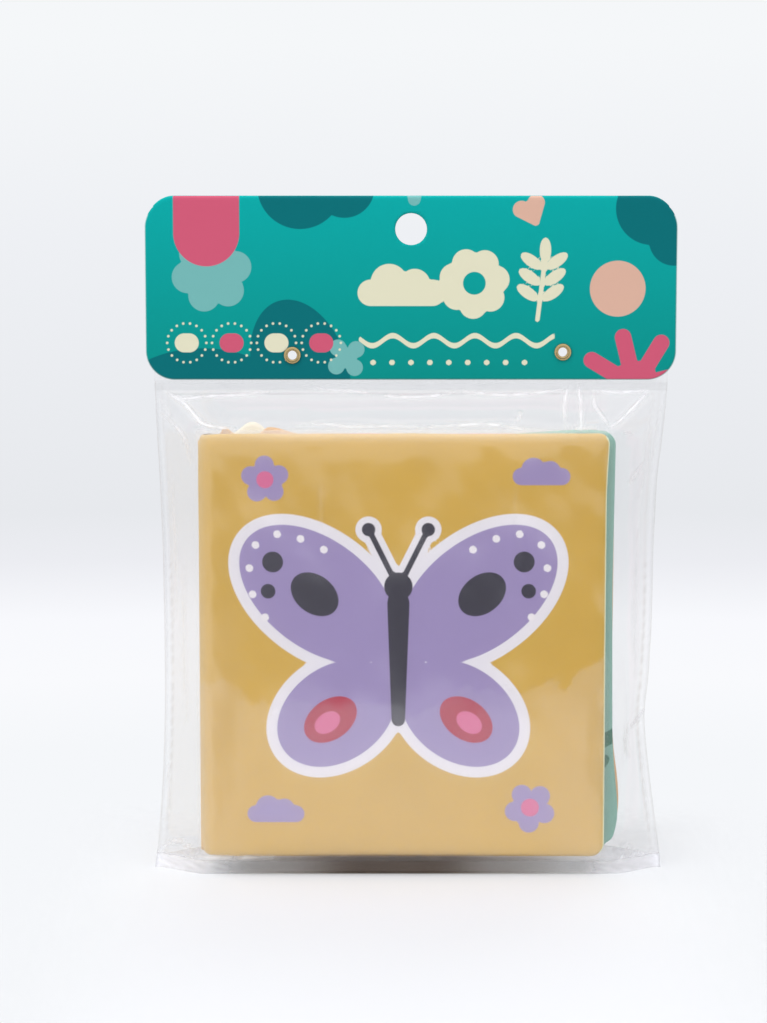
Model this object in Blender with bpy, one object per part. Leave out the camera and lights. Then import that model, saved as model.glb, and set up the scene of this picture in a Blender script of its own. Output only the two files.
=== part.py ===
"""Baby soft book in a clear hanging pack: six padded cloth leaves sewn to one binding, standing in a
film bag whose mouth is riveted into a folded card header. Metres, +Z up, the cover faces -Y."""

import math

import bmesh
import bpy
from mathutils import Matrix, Vector

# The book
cover_width = 0.1284
cover_height = 0.1365
leaf_reach = 0.0023
leaf_rise = 0.0006
leaf_thickness = 0.0034
leaf_gap = 0.0003
leaf_count = 6
corner_radius = 0.0045
side_draw = 0.0009
book_offset = 0.0014

# The plies of a leaf
cloth_thickness = 0.0004
ply_gap = 0.0003
crinkle_thickness = 0.0002
shoulder_run = 0.004
crown_run = 0.016
pad_inset = 0.002
crinkle_inset = 0.006

# The binding
binding_radius = 0.0025
binding_gap = 0.00035
margin_run = 0.0075
binding_inset = 0.001

# The bag
film_thickness = 0.0003
part_gap = 0.0003
side_room = 0.0149
seal_width = 0.0022
bag_pinch = 0.0022
fold_height = 0.0046
wrap_run = 0.008
headroom = 0.0128
neck_height = 0.00245
hinge_gap = 0.00025

# The header
card_overhang = 0.0025
card_height = 0.058
card_ply = 0.0004
card_corner = 0.0075
card_lift = 0.00045
tab_height = 0.0365
hang_hole_radius = 0.005
hang_hole_drop = 0.0105
eyelet_left_x = -0.0376
eyelet_left_rise = 0.0078
eyelet_right_x = 0.0481
eyelet_right_rise = 0.0088
eyelet_bore_radius = 0.00145
eyelet_wall = 0.0004
eyelet_flange_radius = 0.0027
eyelet_flange_height = 0.00035
overrun = 0.002

# Counts, and the share of each span that a point lies at
side_steps = 4
corner_steps = 2
margin_steps = 5
round_steps = 24
hole_steps = 32
shoulder_in_shares = (0.0, 0.25, 1.0)
shoulder_rise_shares = (0.0, 0.52, 0.78)
crown_rise_share = 0.91
pad_edge_share = 0.45
margin_angle_step = math.radians(30)
margin_out_shares = (0.70, 0.45, 0.36)
margin_in_shares = (0.57, 0.35, 0.27)
wrap_shares = ((0.0, 1.0), (0.5, 0.84))
fore_edge_shares = ((0.0, 1.0), (0.9, 0.97))
leaf_edge_share = 0.74
fold_fullness_shares = (0.72, 0.94)
headroom_shares = ((0.03, 0.95), (0.5, 0.47))
film_rise_shares = (0.25, 0.5, 0.75)
face_width_shares = (0.33, 0.67)

# Sizes that follow
leaf_pitch = leaf_thickness + leaf_gap
stack_half = (leaf_count * leaf_pitch - leaf_gap) / 2
seam_level = ply_gap / 2
crown_rise = leaf_thickness / 2 - cloth_thickness - seam_level
book_bottom = fold_height + part_gap
book_top = book_bottom + cover_height
book_left = -(cover_width + binding_radius + leaf_reach) / 2 - book_offset
spine_x = book_left + binding_radius
cover_right = spine_x + cover_width
leaf_right = cover_right + leaf_reach
margin_radius = binding_radius + binding_gap
bag_half_width = (leaf_right - book_left) / 2 + side_room
bag_half_depth = stack_half + part_gap
mouth_z = book_top + headroom
neck_bottom = mouth_z + part_gap
neck_top = neck_bottom + neck_height
hinge_z = neck_top + hinge_gap
tab_bottom = hinge_z + hinge_gap
card_bottom = tab_bottom + card_lift
card_top = card_bottom + card_height
card_half_width = bag_half_width + card_overhang
flap_inside = film_thickness / 2 + part_gap
card_half_depth = flap_inside + card_ply
eyelet_barrel_radius = eyelet_bore_radius + eyelet_wall
eyelet_hole_radius = eyelet_barrel_radius + part_gap
eyelet_seat = card_half_depth + part_gap

colours = {
    "mustard": (0.60, 0.38, 0.09),
    "teal": (0.35, 0.60, 0.52),
    "tan": (0.62, 0.40, 0.22),
    "pink": (0.75, 0.45, 0.50),
    "cream": (0.86, 0.82, 0.72),
    "wadding": (0.85, 0.85, 0.83),
    "crinkle": (0.70, 0.76, 0.80),
    "film": (0.85, 0.90, 0.93),
    "card": (0.01, 0.33, 0.30),
    "brass": (0.78, 0.57, 0.30),
}


def clear_scene():
    for old in list(bpy.data.objects):
        bpy.data.objects.remove(old)


def make_material(name, roughness=0.8, metallic=0.0, alpha=1.0):
    material = bpy.data.materials.get(name) or bpy.data.materials.new(name)
    material.use_nodes = True
    shader = material.node_tree.nodes["Principled BSDF"]
    shader.inputs["Base Color"].default_value = (*colours[name], 1.0)
    shader.inputs["Roughness"].default_value = roughness
    shader.inputs["Metallic"].default_value = metallic
    shader.inputs["Alpha"].default_value = alpha
    return material


def make_body(name, location, parent=None):
    """An empty on a body's joint axis, which its pieces hang from."""
    empty = bpy.data.objects.new(name + "_axis", None)
    bpy.context.scene.collection.objects.link(empty)
    empty.location = Vector(location) - (parent["place"] if parent else Vector())
    if parent:
        empty.parent = parent["empty"]
    return {"empty": empty, "place": Vector(location)}


def make_piece(name, bm, body, material, smooth=True):
    """Turns a bmesh, drawn where the piece lies, into an object under its body's empty."""
    bmesh.ops.recalc_face_normals(bm, faces=bm.faces)
    bmesh.ops.translate(bm, verts=bm.verts, vec=-body["place"])
    mesh = bpy.data.meshes.new(name)
    bm.to_mesh(mesh)
    bm.free()
    if smooth:
        mesh.shade_smooth()
        mesh.set_sharp_from_angle(angle=math.radians(40))
    mesh.materials.append(material)
    piece = bpy.data.objects.new(name, mesh)
    bpy.context.scene.collection.objects.link(piece)
    piece.parent = body["empty"]
    return piece


def cut(piece, cutter):
    cutter.hide_render = True
    cutter.display_type = "WIRE"
    boolean = piece.modifiers.new(cutter.name, "BOOLEAN")
    boolean.operation = "DIFFERENCE"
    boolean.solver = "EXACT"
    boolean.object = cutter


def closed_loop(bm, points):
    """A ring of edges through these points."""
    verts = [bm.verts.new(point) for point in points]
    return [bm.edges.new((vert, verts[i - 1])) for i, vert in enumerate(verts)]


def skin(bm, loops):
    """Bridges each ring to the next."""
    for first, second in zip(loops, loops[1:]):
        bmesh.ops.bridge_loops(bm, edges=first + second)


def crown_cap(bm, loop, level):
    """Closes a ring with a fan whose middle point stands at this level."""
    face = bmesh.ops.edgeloop_fill(bm, edges=loop)["faces"][0]
    for vert in bmesh.ops.poke(bm, faces=[face])["verts"]:
        vert.co.y = level


# Leaves. One is drawn flat first: x runs from the padded area's inner edge to the fore-edge, y is
# the height over the middle of the leaf and z is world height. Then lay_leaf puts it in its place.


def leaf_size(number):
    """The padded area's width, and its bottom and top."""
    if number in (1, leaf_count):
        return cover_width - margin_run, book_bottom, book_top
    return cover_width - margin_run + leaf_reach, book_bottom, book_top + leaf_rise


def leaf_outline(number, inset, level):
    """The padded area's outline, drawn in between its corners on the three free sides."""
    width, bottom, top = leaf_size(number)
    radius = max(corner_radius - inset, corner_radius / leaf_count)
    corners = (
        (inset, bottom + inset, 1, 1, math.pi),
        (width - inset, bottom + inset, -1, 1, 1.5 * math.pi),
        (width - inset, top - inset, -1, -1, 0.0),
        (inset, top - inset, 1, -1, 0.5 * math.pi),
    )
    points = []
    for index, (x, z, right, up, start) in enumerate(corners):
        centre = Vector((x + right * radius, level, z + up * radius))
        for step in range(corner_steps + 1):
            angle = start + 0.5 * math.pi * step / corner_steps
            arm = Vector((math.cos(angle), 0, math.sin(angle)))
            points.append(centre + radius * arm)
        here = points[-1]
        next_x, next_z, next_right, next_up, next_start = corners[(index + 1) % len(corners)]
        next_arm = Vector((math.cos(next_start), 0, math.sin(next_start)))
        there = Vector((next_x + next_right * radius, level, next_z + next_up * radius))
        there += radius * next_arm
        draw = 0.0 if index == len(corners) - 1 else side_draw
        for step in range(1, side_steps):
            share = step / side_steps
            bow = draw * math.sin(math.pi * share)
            points.append(here.lerp(there, share) - bow * next_arm)
    return points


def rise_at(inset):
    """How far the crown stands over the seam, at this distance inside the outline."""
    steps = [
        (share * shoulder_run, rise * crown_rise)
        for share, rise in zip(shoulder_in_shares, shoulder_rise_shares)
    ]
    steps.append((crown_run, crown_rise_share * crown_rise))
    for (near, low), (far, high) in zip(steps, steps[1:]):
        if inset <= far:
            return low + (high - low) * (inset - near) / (far - near)
    return steps[-1][1]


def lay_leaf(bm, number):
    """Moves a flat leaf to its place, and bends its margin round to the binding."""
    middle = (leaf_count + 1) / 2
    level = (number - middle) * leaf_pitch
    angle = (number - middle) * margin_angle_step
    ring = round(abs(number - middle) + 0.5)
    out_share = margin_out_shares[-ring] * margin_run
    in_share = margin_in_shares[-ring] * margin_run
    radial = Vector((math.cos(angle), math.sin(angle)))
    start = margin_radius * radial
    end = Vector((margin_run, level))
    path = (start, start + out_share * radial, end - Vector((in_share, 0)), end)
    for vert in bm.verts:
        along, height, z = vert.co
        share = min(1.0 + along / margin_run, 1.0)
        back = 1.0 - share
        weights = (back**3, 3 * back**2 * share, 3 * back * share**2, share**3)
        place = sum((w * p for w, p in zip(weights, path)), Vector((0, 0)))
        slopes = (back**2, 2 * back * share, share**2)
        legs = (path[1] - path[0], path[2] - path[1], path[3] - path[2])
        heading = sum((w * leg for w, leg in zip(slopes, legs)), Vector((0, 0))).normalized()
        place += height * Vector((-heading.y, heading.x)) + max(along, 0.0) * Vector((1, 0))
        vert.co = (spine_x + place.x, place.y, z)


def make_cloth(name, number, side, body, material):
    """One cloth of a leaf, a shallow tray with its binding margin. side is -1 in front, 1 behind."""
    bm = bmesh.new()
    insets = [share * shoulder_run for share in shoulder_in_shares] + [crown_run]
    for skin_level in (seam_level + cloth_thickness, seam_level):
        loops = [
            closed_loop(bm, leaf_outline(number, inset, side * (skin_level + rise_at(inset))))
            for inset in insets
        ]
        skin(bm, loops)
        crown_cap(bm, loops[-1], side * (skin_level + crown_rise))
    rims = [edge for edge in bm.edges if edge.is_boundary]
    bmesh.ops.bridge_loops(bm, edges=rims)
    bmesh.ops.recalc_face_normals(bm, faces=bm.faces)
    bm.normal_update()
    tolerance = ply_gap / 2
    edge_faces = [
        face for face in bm.faces if all(abs(vert.co.x) < tolerance for vert in face.verts)
    ]
    for _ in range(margin_steps):
        moved = bmesh.ops.extrude_face_region(bm, geom=edge_faces)["geom"]
        bmesh.ops.delete(bm, geom=edge_faces, context="FACES_ONLY")
        edge_faces = [item for item in moved if isinstance(item, bmesh.types.BMFace)]
        verts = [item for item in moved if isinstance(item, bmesh.types.BMVert)]
        bmesh.ops.translate(bm, verts=verts, vec=(-margin_run / margin_steps, 0, 0))
    lay_leaf(bm, number)
    return make_piece(name, bm, body, material)


def make_lens(name, number, edges, body, material):
    """A padded filling. edges gives, for each face, its rings of inset and level and its crown."""
    bm = bmesh.new()
    for rings, crown in edges:
        loops = [closed_loop(bm, leaf_outline(number, inset, level)) for inset, level in rings]
        skin(bm, loops)
        crown_cap(bm, loops[-1], crown)
    bmesh.ops.bridge_loops(bm, edges=[edge for edge in bm.edges if edge.is_boundary])
    lay_leaf(bm, number)
    return make_piece(name, bm, body, material)


def make_pad(name, number, lowered, body, material):
    """The wadding. lowered names the side, -1 or 1, that leaves room for a crinkle film, or 0."""
    edges = []
    for side in (-1, 1):
        drop = crinkle_thickness + ply_gap if side == lowered else 0.0
        rings = []
        for inset, share in ((pad_inset, pad_edge_share), (shoulder_run, 1.0), (crown_run, 1.0)):
            level = seam_level + rise_at(inset) - ply_gap - drop
            rings.append((inset, side * share * level))
        edges.append((rings, side * (seam_level + crown_rise - ply_gap - drop)))
    make_lens(name, number, edges, body, material)


def make_crinkle(name, number, side, body, material):
    """The crinkle film between the outer cloth and the wadding of a cover."""
    edges = []
    for under in (0.0, crinkle_thickness):
        rings = [
            (inset, side * (seam_level + rise_at(inset) - ply_gap - under))
            for inset in (crinkle_inset, crown_run)
        ]
        edges.append((rings, side * (seam_level + crown_rise - ply_gap - under)))
    make_lens(name, number, edges, body, material)


def make_cover(name, number, side, body, materials):
    """A cover: outer cloth, crinkle film, wadding and inner cloth, from its outer side inwards."""
    make_cloth(name + "_outer_cloth", number, side, body, materials["mustard"])
    make_crinkle(name + "_crinkle_film", number, side, body, materials["crinkle"])
    make_pad(name + "_padding", number, side, body, materials["wadding"])
    make_cloth(name + "_inner_cloth", number, -side, body, materials["cream"])


def make_leaf(number, body, front, back, wadding):
    name = f"leaf_{number}"
    make_cloth(name + "_front_cloth", number, -1, body, front)
    make_pad(name + "_padding", number, 0, body, wadding)
    make_cloth(name + "_back_cloth", number, 1, body, back)


def make_binding(body, material):
    """The rolled tape that the margins of all leaves are stitched to."""
    bm = bmesh.new()
    height = cover_height - 2 * binding_inset
    middle = Vector((spine_x, 0, book_bottom + binding_inset + height / 2))
    bmesh.ops.create_cone(
        bm,
        cap_ends=True,
        segments=round_steps,
        radius1=binding_radius,
        radius2=binding_radius,
        depth=height,
        matrix=Matrix.Translation(middle),
    )
    make_piece("binding_tape", bm, body, material)


# Bag. Its walls lean in to the seals at the sides, to the fold below and to the mouth above.


def film_columns(z):
    """Where the film's points lie across the bag, and how full it is there."""
    edge = bag_half_width - bag_pinch * math.sin(math.pi * z / mouth_z)
    columns = [(-edge, 0.0), (-edge + seal_width, 0.0)]
    columns += [
        (book_left + wrap_run * (1 - share), full) for share, full in reversed(wrap_shares)
    ]
    inner_left = book_left + wrap_run
    inner_right = cover_right - wrap_run
    columns += [
        (inner_left + share * (inner_right - inner_left), 1.0) for share in face_width_shares
    ]
    columns += [
        (inner_right + share * (wrap_run + part_gap), full) for share, full in fore_edge_shares
    ]
    columns.append((leaf_right + 2 * part_gap, leaf_edge_share))
    columns += [(edge - seal_width, 0.0), (edge, 0.0)]
    return columns


def film_rows():
    """The heights that a film wall's points lie at, and how full the bag is there."""
    low = book_bottom + shoulder_run
    high = book_top - shoulder_run
    rows = [(fold_height + part_gap, fold_fullness_shares[1]), (low, 1.0)]
    rows += [(low + share * (high - low), 1.0) for share in film_rise_shares]
    rows.append((high, 1.0))
    rows += [(book_top + share * headroom, full) for share, full in headroom_shares]
    rows.append((mouth_z, 0.0))
    return rows


def film_depth(across, up):
    """The inner face's distance from the bag's middle plane."""
    return part_gap / 2 + (bag_half_depth - part_gap / 2) * min(across, up)


def make_film_wall(name, side, body, material):
    """One wall of the bag, a sheet of points thickened outwards."""
    bm = bmesh.new()
    sheets = []
    for extra in (0.0, film_thickness):
        sheet = [
            [
                bm.verts.new((x, side * (film_depth(across, up) + extra), z))
                for x, across in film_columns(z)
            ]
            for z, up in film_rows()
        ]
        sheets.append(sheet)
        for low, high in zip(sheet, sheet[1:]):
            for i in range(len(low) - 1):
                bm.faces.new((low[i], low[i + 1], high[i + 1], high[i]))
    bmesh.ops.bridge_loops(bm, edges=[edge for edge in bm.edges if edge.is_boundary])
    make_piece(name, bm, body, material)


def make_bottom_fold(body, material):
    """The folded foot of the bag, an open trough that is flat where the pack stands."""
    bm = bmesh.new()
    low_full, high_full = fold_fullness_shares
    sections = []
    for x, across in film_columns(0.0):
        foot = film_depth(across, low_full)
        lip = film_depth(across, high_full)
        outer = [
            (-lip - film_thickness, fold_height),
            (-foot - film_thickness, 0.0),
            (foot + film_thickness, 0.0),
            (lip + film_thickness, fold_height),
        ]
        inner = [
            (lip, fold_height),
            (foot, film_thickness),
            (-foot, film_thickness),
            (-lip, fold_height),
        ]
        sections.append(closed_loop(bm, [(x, y, z) for y, z in outer + inner]))
    skin(bm, sections)
    for end in (sections[0], sections[-1]):
        bmesh.ops.edgeloop_fill(bm, edges=end)
    make_piece("bag_bottom_fold", bm, body, material, smooth=False)


def make_plate(name, half_width, half_depth, bottom, top, body, material):
    """A flat rectangular sheet, upright in the middle plane."""
    bm = bmesh.new()
    size = Matrix.Diagonal((2 * half_width, 2 * half_depth, top - bottom, 1))
    place = Matrix.Translation((0, 0, (bottom + top) / 2))
    bmesh.ops.create_cube(bm, size=1, matrix=place @ size)
    return make_piece(name, bm, body, material, smooth=False)


# Header


def make_hole_cutter(name, x, z, radius, body, material):
    bm = bmesh.new()
    place = Matrix.Translation((x, 0, z)) @ Matrix.Rotation(math.pi / 2, 4, "X")
    bmesh.ops.create_cone(
        bm,
        cap_ends=True,
        segments=hole_steps,
        radius1=radius,
        radius2=radius,
        depth=2 * (card_half_depth + overrun),
        matrix=place,
    )
    return make_piece(name, bm, body, material)


def make_header_card(body, materials, holes):
    """One card folded over at the top, its four corners rounded, with a slot for the film tab."""
    bm = bmesh.new()
    corners = (
        (1, card_bottom, 1, -90),
        (1, card_top, -1, 0),
        (-1, card_top, -1, 90),
        (-1, card_bottom, 1, 180),
    )
    outline = []
    for side, z, inwards, start in corners:
        centre = Vector((side * (card_half_width - card_corner), 0, z + inwards * card_corner))
        for step in range(3 * corner_steps + 1):
            angle = math.radians(start + 90 * step / (3 * corner_steps))
            outline.append(centre + card_corner * Vector((math.cos(angle), 0, math.sin(angle))))
    loops = [
        closed_loop(bm, [point + Vector((0, y, 0)) for point in outline])
        for y in (-card_half_depth, card_half_depth)
    ]
    skin(bm, loops)
    for loop in loops:
        bmesh.ops.edgeloop_fill(bm, edges=loop)
    card = make_piece("header_card", bm, body, materials["card"])
    slot = make_plate(
        "card_slot_cutter",
        card_half_width + overrun,
        flap_inside,
        card_bottom - overrun,
        card_top - card_ply,
        body,
        materials["card"],
    )
    cut(card, slot)
    for hole in holes:
        cut(card, hole)


def make_eyelet(name, x, z, body, material):
    """A rolled eyelet: its barrel runs through the card, with a flange on each face."""
    flange_top = eyelet_seat + eyelet_flange_height
    roll = (eyelet_barrel_radius + eyelet_flange_radius) / 2
    bore_roll = eyelet_bore_radius + eyelet_wall / 2
    half = [
        (eyelet_barrel_radius, eyelet_seat),
        (eyelet_flange_radius, eyelet_seat),
        (eyelet_flange_radius - eyelet_flange_height / 3, flange_top - eyelet_flange_height / 3),
        (roll, flange_top),
        (bore_roll, flange_top),
        (eyelet_bore_radius, eyelet_seat),
    ]
    profile = [(r, y) for r, y in half] + [(r, -y) for r, y in reversed(half)]
    bm = bmesh.new()
    edges = closed_loop(bm, [(x + r, y, z) for r, y in profile])
    verts = list({vert for edge in edges for vert in edge.verts})
    bmesh.ops.spin(
        bm,
        geom=verts + edges,
        cent=(x, 0, z),
        axis=(0, 1, 0),
        angle=2 * math.pi,
        steps=round_steps,
        use_merge=True,
    )
    make_piece(name, bm, body, material)


def make_part():
    clear_scene()
    materials = {name: make_material(name) for name in colours}
    materials["film"] = make_material("film", roughness=0.1, alpha=0.3)
    materials["crinkle"] = make_material("crinkle", roughness=0.25, alpha=0.6)
    materials["card"] = make_material("card", roughness=0.4)
    materials["brass"] = make_material("brass", roughness=0.3, metallic=1.0)

    bag = make_body("bag", (0, 0, 0))
    neck = make_body("neck", (0, 0, neck_bottom), bag)
    header = make_body("header", (0, 0, hinge_z), neck)
    spine = (spine_x, 0, book_bottom)
    book = make_body("back_cover", spine, bag)
    front_cover = make_body("front_cover", spine, book)

    make_film_wall("bag_front_film", -1, bag, materials["film"])
    make_film_wall("bag_back_film", 1, bag, materials["film"])
    make_bottom_fold(bag, materials["film"])
    neck_half = film_thickness / 2
    make_plate("bag_neck_film", bag_half_width, neck_half, neck_bottom, neck_top, neck, materials["film"])

    eyelets = (
        ("left", eyelet_left_x, card_bottom + eyelet_left_rise),
        ("right", eyelet_right_x, card_bottom + eyelet_right_rise),
    )
    holes = []
    for side, x, z in eyelets:
        name = f"eyelet_{side}_cutter"
        holes.append(make_hole_cutter(name, x, z, eyelet_hole_radius, header, materials["brass"]))
        make_eyelet(f"eyelet_{side}", x, z, header, materials["brass"])
    tab_span = (tab_bottom, tab_bottom + tab_height)
    tab = make_plate("bag_tab_film", bag_half_width, neck_half, *tab_span, header, materials["film"])
    for hole in holes:
        cut(tab, hole)
    hang_z = card_top - hang_hole_drop
    hang_hole = make_hole_cutter("hang_hole_cutter", 0, hang_z, hang_hole_radius, header, materials["card"])
    make_header_card(header, materials, holes + [hang_hole])

    make_binding(book, materials["mustard"])
    make_cover("back_cover", leaf_count, 1, book, materials)
    make_cover("front_cover", 1, -1, front_cover, materials)
    cloths = {
        2: ("teal", "tan"),
        3: ("tan", "cream"),
        4: ("cream", "pink"),
        5: ("pink", "teal"),
    }
    for number, (front, back) in cloths.items():
        body = make_body(f"leaf_{number}", spine, book)
        make_leaf(number, body, materials[front], materials[back], materials["wadding"])


make_part()
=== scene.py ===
"""Looks of the baby soft book in its clear hanging pack. Metres, +Z up, the cover faces -Y."""

import math
import random

import bmesh
import bpy
import numpy as np
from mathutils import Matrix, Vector


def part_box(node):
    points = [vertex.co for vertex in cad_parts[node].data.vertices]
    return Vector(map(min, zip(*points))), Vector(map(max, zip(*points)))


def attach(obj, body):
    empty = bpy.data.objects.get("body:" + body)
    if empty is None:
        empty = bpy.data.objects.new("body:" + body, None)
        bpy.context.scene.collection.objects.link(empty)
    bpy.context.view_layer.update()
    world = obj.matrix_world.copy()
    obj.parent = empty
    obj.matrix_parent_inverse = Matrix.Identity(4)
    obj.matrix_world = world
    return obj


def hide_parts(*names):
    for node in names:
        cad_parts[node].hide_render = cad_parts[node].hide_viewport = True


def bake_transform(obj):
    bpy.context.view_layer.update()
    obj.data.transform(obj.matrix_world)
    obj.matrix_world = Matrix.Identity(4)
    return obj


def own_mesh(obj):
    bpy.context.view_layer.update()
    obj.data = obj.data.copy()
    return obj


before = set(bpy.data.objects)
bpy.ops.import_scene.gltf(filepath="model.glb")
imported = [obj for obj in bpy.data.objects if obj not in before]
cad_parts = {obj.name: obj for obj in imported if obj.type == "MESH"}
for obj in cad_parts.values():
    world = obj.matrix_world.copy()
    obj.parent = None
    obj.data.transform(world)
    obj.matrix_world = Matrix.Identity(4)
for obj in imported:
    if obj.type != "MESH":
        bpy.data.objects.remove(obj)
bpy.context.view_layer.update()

bpy.context.scene.view_settings.view_transform = "Standard"
mm = 0.001

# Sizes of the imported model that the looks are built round
cover_low, cover_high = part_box("front_cover_outer_cloth")
leaf_low, leaf_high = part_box("leaf_2_front_cloth")
tape_low, tape_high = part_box("binding_tape")
wall_low, wall_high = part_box("bag_front_film")
fold_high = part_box("bag_bottom_fold")[1]
card_low, card_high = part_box("header_card")
spine_x = (tape_low.x + tape_high.x) / 2
book_bottom, book_top = cover_low.z, cover_high.z
cover_right, leaf_right, leaf_top = cover_high.x, leaf_high.x, leaf_high.z
film_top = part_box("bag_neck_film")[1].z + 0.45 * mm
film_shut = wall_high.z + 0.3 * mm

# The book: how far apart its leaves lie, the margins that they are sewn in by, and its cloth
leaf_pitch = 3.7 * mm
margin_run = 7.5 * mm
margin_radius = 2.85 * mm
pad_left = spine_x + margin_run
cloth_thickness = 0.3 * mm
spine_corner = 1.8 * mm
page_grid, cover_grid = 1.2 * mm, 0.95 * mm

# The bag: its film, and how far a wall stands from the middle plane, over the book and at a seal
film_thickness = 0.12 * mm
film_deep = 11.45 * mm
half_gap = 0.09 * mm
barrel_radius = 1.85 * mm


# Curves


def ramp(value, start, end):
    """0 at start, 1 at end, straight between them and level past them. end may be the lower one."""
    return np.clip((value - start) / (end - start), 0, 1)


def hump(value, centre, width):
    """A soft rise and fall, 1 at its centre."""
    return np.exp(-(((value - centre) / width) ** 2))


def blurred(curve, t, blur):
    """A curve with its corners rounded off: the mean of five places that lie blur apart."""
    return sum(curve(t + d * blur) for d in range(-2, 3)) / 5


def softened_steps(t, knots, blur=0.03):
    """Reads a curve given by its knots, with its corners rounded off."""
    places, values = zip(*knots)
    return blurred(lambda s: np.interp(s, places, values), t, blur)


def corner_arc(dx, dz):
    """Bends the square grid of a corner into quarter rings: which places are in the corner, how far
    from its middle they then lie, and their bearing."""
    big, small = np.maximum(dx, dz), np.minimum(dx, dz)
    angle = math.pi / 4 * small / np.maximum(big, 1e-9)
    return (dx > 0) & (dz > 0), big, np.where(dx >= dz, angle, math.pi / 2 - angle)


# Meshes


def steps(low, high, size):
    return np.linspace(low, high, max(2, round((high - low) / size) + 1))


def graded(low, high, size, soft_low=True):
    """Places from low to high, closer together beside a sewn edge, where the cloth turns in."""
    ladder = np.array([0, 0.12, 0.3, 0.55, 0.9, 1.4, 2.1, 3.0]) * mm
    start = low + ladder if soft_low else np.array([low])
    end = high - ladder[::-1]
    return np.concatenate([start[:-1], steps(start[-1], end[0], size), end[1:]])


def flat_slab(xs, zs):
    """A closed slab of two like grids. A vertex holds its place on the flat sheet in x and y, and in z
    whether it is on the outer skin, 0, or the inner one, -1."""
    bm = bmesh.new()
    bmesh.ops.create_grid(bm, x_segments=len(xs) - 1, y_segments=len(zs) - 1, size=1)
    copy = bmesh.ops.duplicate(bm, geom=bm.verts[:] + bm.edges[:] + bm.faces[:])["geom"]
    inner = [item for item in copy if isinstance(item, bmesh.types.BMVert)]
    bmesh.ops.translate(bm, verts=inner, vec=(0, 0, -1))
    rim = bmesh.ops.bridge_loops(bm, edges=[edge for edge in bm.edges if edge.is_boundary])
    for face in rim["faces"]:
        face.material_index = 1
    bmesh.ops.recalc_face_normals(bm, faces=bm.faces)
    for vert in bm.verts:
        column = round((vert.co.x + 1) / 2 * (len(xs) - 1))
        row = round((vert.co.y + 1) / 2 * (len(zs) - 1))
        vert.co.x, vert.co.y = xs[column], zs[row]
    return bm


def mesh_of(name, bm, smooth=True):
    mesh = bpy.data.meshes.new(name)
    bm.to_mesh(mesh)
    bm.free()
    mesh.polygons.foreach_set("use_smooth", [smooth] * len(mesh.polygons))
    return mesh


def flat_places(mesh):
    """Each vertex's two places on the flat sheet, and whether it is on the inner skin."""
    points = np.empty(len(mesh.vertices) * 3)
    mesh.vertices.foreach_get("co", points)
    across, up, skin = points.reshape(-1, 3).T
    return across, up, skin < -0.5


def put_points(mesh, x, y, z):
    """Sets the vertices, and turns the faces of a closed mesh outwards."""
    points = np.stack([x, y, z], axis=1)
    mesh.vertices.foreach_set("co", np.ascontiguousarray(points, np.float32).ravel())
    mesh.update()
    mesh.calc_loop_triangles()
    corners = np.empty(len(mesh.loop_triangles) * 3, np.int32)
    mesh.loop_triangles.foreach_get("vertices", corners)
    a, b, c = (points[corners.reshape(-1, 3)[:, i]] for i in range(3))
    if (a * np.cross(b, c)).sum() < 0:
        mesh.flip_normals()
    mesh.update()


def note(mesh, name, values):
    """Keeps one number for each vertex, which a material reads by this name."""
    attribute = mesh.attributes.new(name, "FLOAT", "POINT")
    attribute.data.foreach_set("value", np.asarray(values, np.float32))


def note_inks(mesh, distances):
    for number, distance in enumerate(distances, 1):
        note(mesh, f"ink_{number}", distance)


def note_threads(mesh, weft, warp):
    """Keeps each vertex's place along the two threads of its cloth, in mm."""
    note(mesh, "weft", weft / mm)
    note(mesh, "warp", warp / mm)


def show(mesh, finishes):
    for finish in finishes:
        mesh.materials.append(finish)
    piece = bpy.data.objects.new(mesh.name, mesh)
    bpy.context.scene.collection.objects.link(piece)
    return piece


def dress(mesh, finishes, body, node):
    """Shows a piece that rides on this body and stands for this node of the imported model."""
    piece = show(mesh, finishes)
    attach(piece, body)
    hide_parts(node)
    return piece


def ripples(x, z, seed, shortest, longest):
    """Soft unevenness between -1 and 1: nine plane waves whose lengths lie between the two given."""
    draw, count = random.Random(seed), 9
    total = np.zeros_like(x)
    for _ in range(count):
        angle, phase = draw.uniform(0, math.pi), draw.uniform(0, 2 * math.pi)
        length = draw.uniform(shortest, longest)
        total += np.sin((x * math.cos(angle) + z * math.sin(angle)) * 2 * math.pi / length + phase)
    return total / count * 1.6


# Outlines of the prints. Each gives the distance outside its edge in millimetres, negative inside.


def disc(p, q, x, z, radius):
    return np.hypot(p - x, q - z) - radius


def oval(p, q, x, z, across, up, turn=0.0):
    angle = math.radians(turn)
    a = (p - x) * math.cos(angle) + (q - z) * math.sin(angle)
    b = (q - z) * math.cos(angle) - (p - x) * math.sin(angle)
    near, slope = np.hypot(a / across, b / up), np.hypot(a / across**2, b / up**2)
    return near * (near - 1) / np.maximum(slope, 1e-6)


def bar(p, q, x1, z1, x2, z2, radius, end_radius=None):
    """A stroke with round ends, which may taper."""
    dx, dz = x2 - x1, z2 - z1
    share = np.clip(((p - x1) * dx + (q - z1) * dz) / max(dx * dx + dz * dz, 1e-9), 0, 1)
    wide = radius if end_radius is None else radius + (end_radius - radius) * share
    return np.hypot(p - x1 - share * dx, q - z1 - share * dz) - wide


def joined(*shapes):
    return np.minimum.reduce(shapes)


def less(shape, *cuts):
    return np.maximum.reduce([shape, *[-cut for cut in cuts]])


def flower(p, q, x, z, size, petals=5, turn=0.0):
    shapes = [disc(p, q, x, z, 0.5 * size)]
    for i in range(petals):
        angle = math.radians(turn) + 2 * math.pi * i / petals
        far = 0.62 * size
        shapes.append(disc(p, q, x + far * math.cos(angle), z + far * math.sin(angle), 0.4 * size))
    return joined(*shapes)


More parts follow.
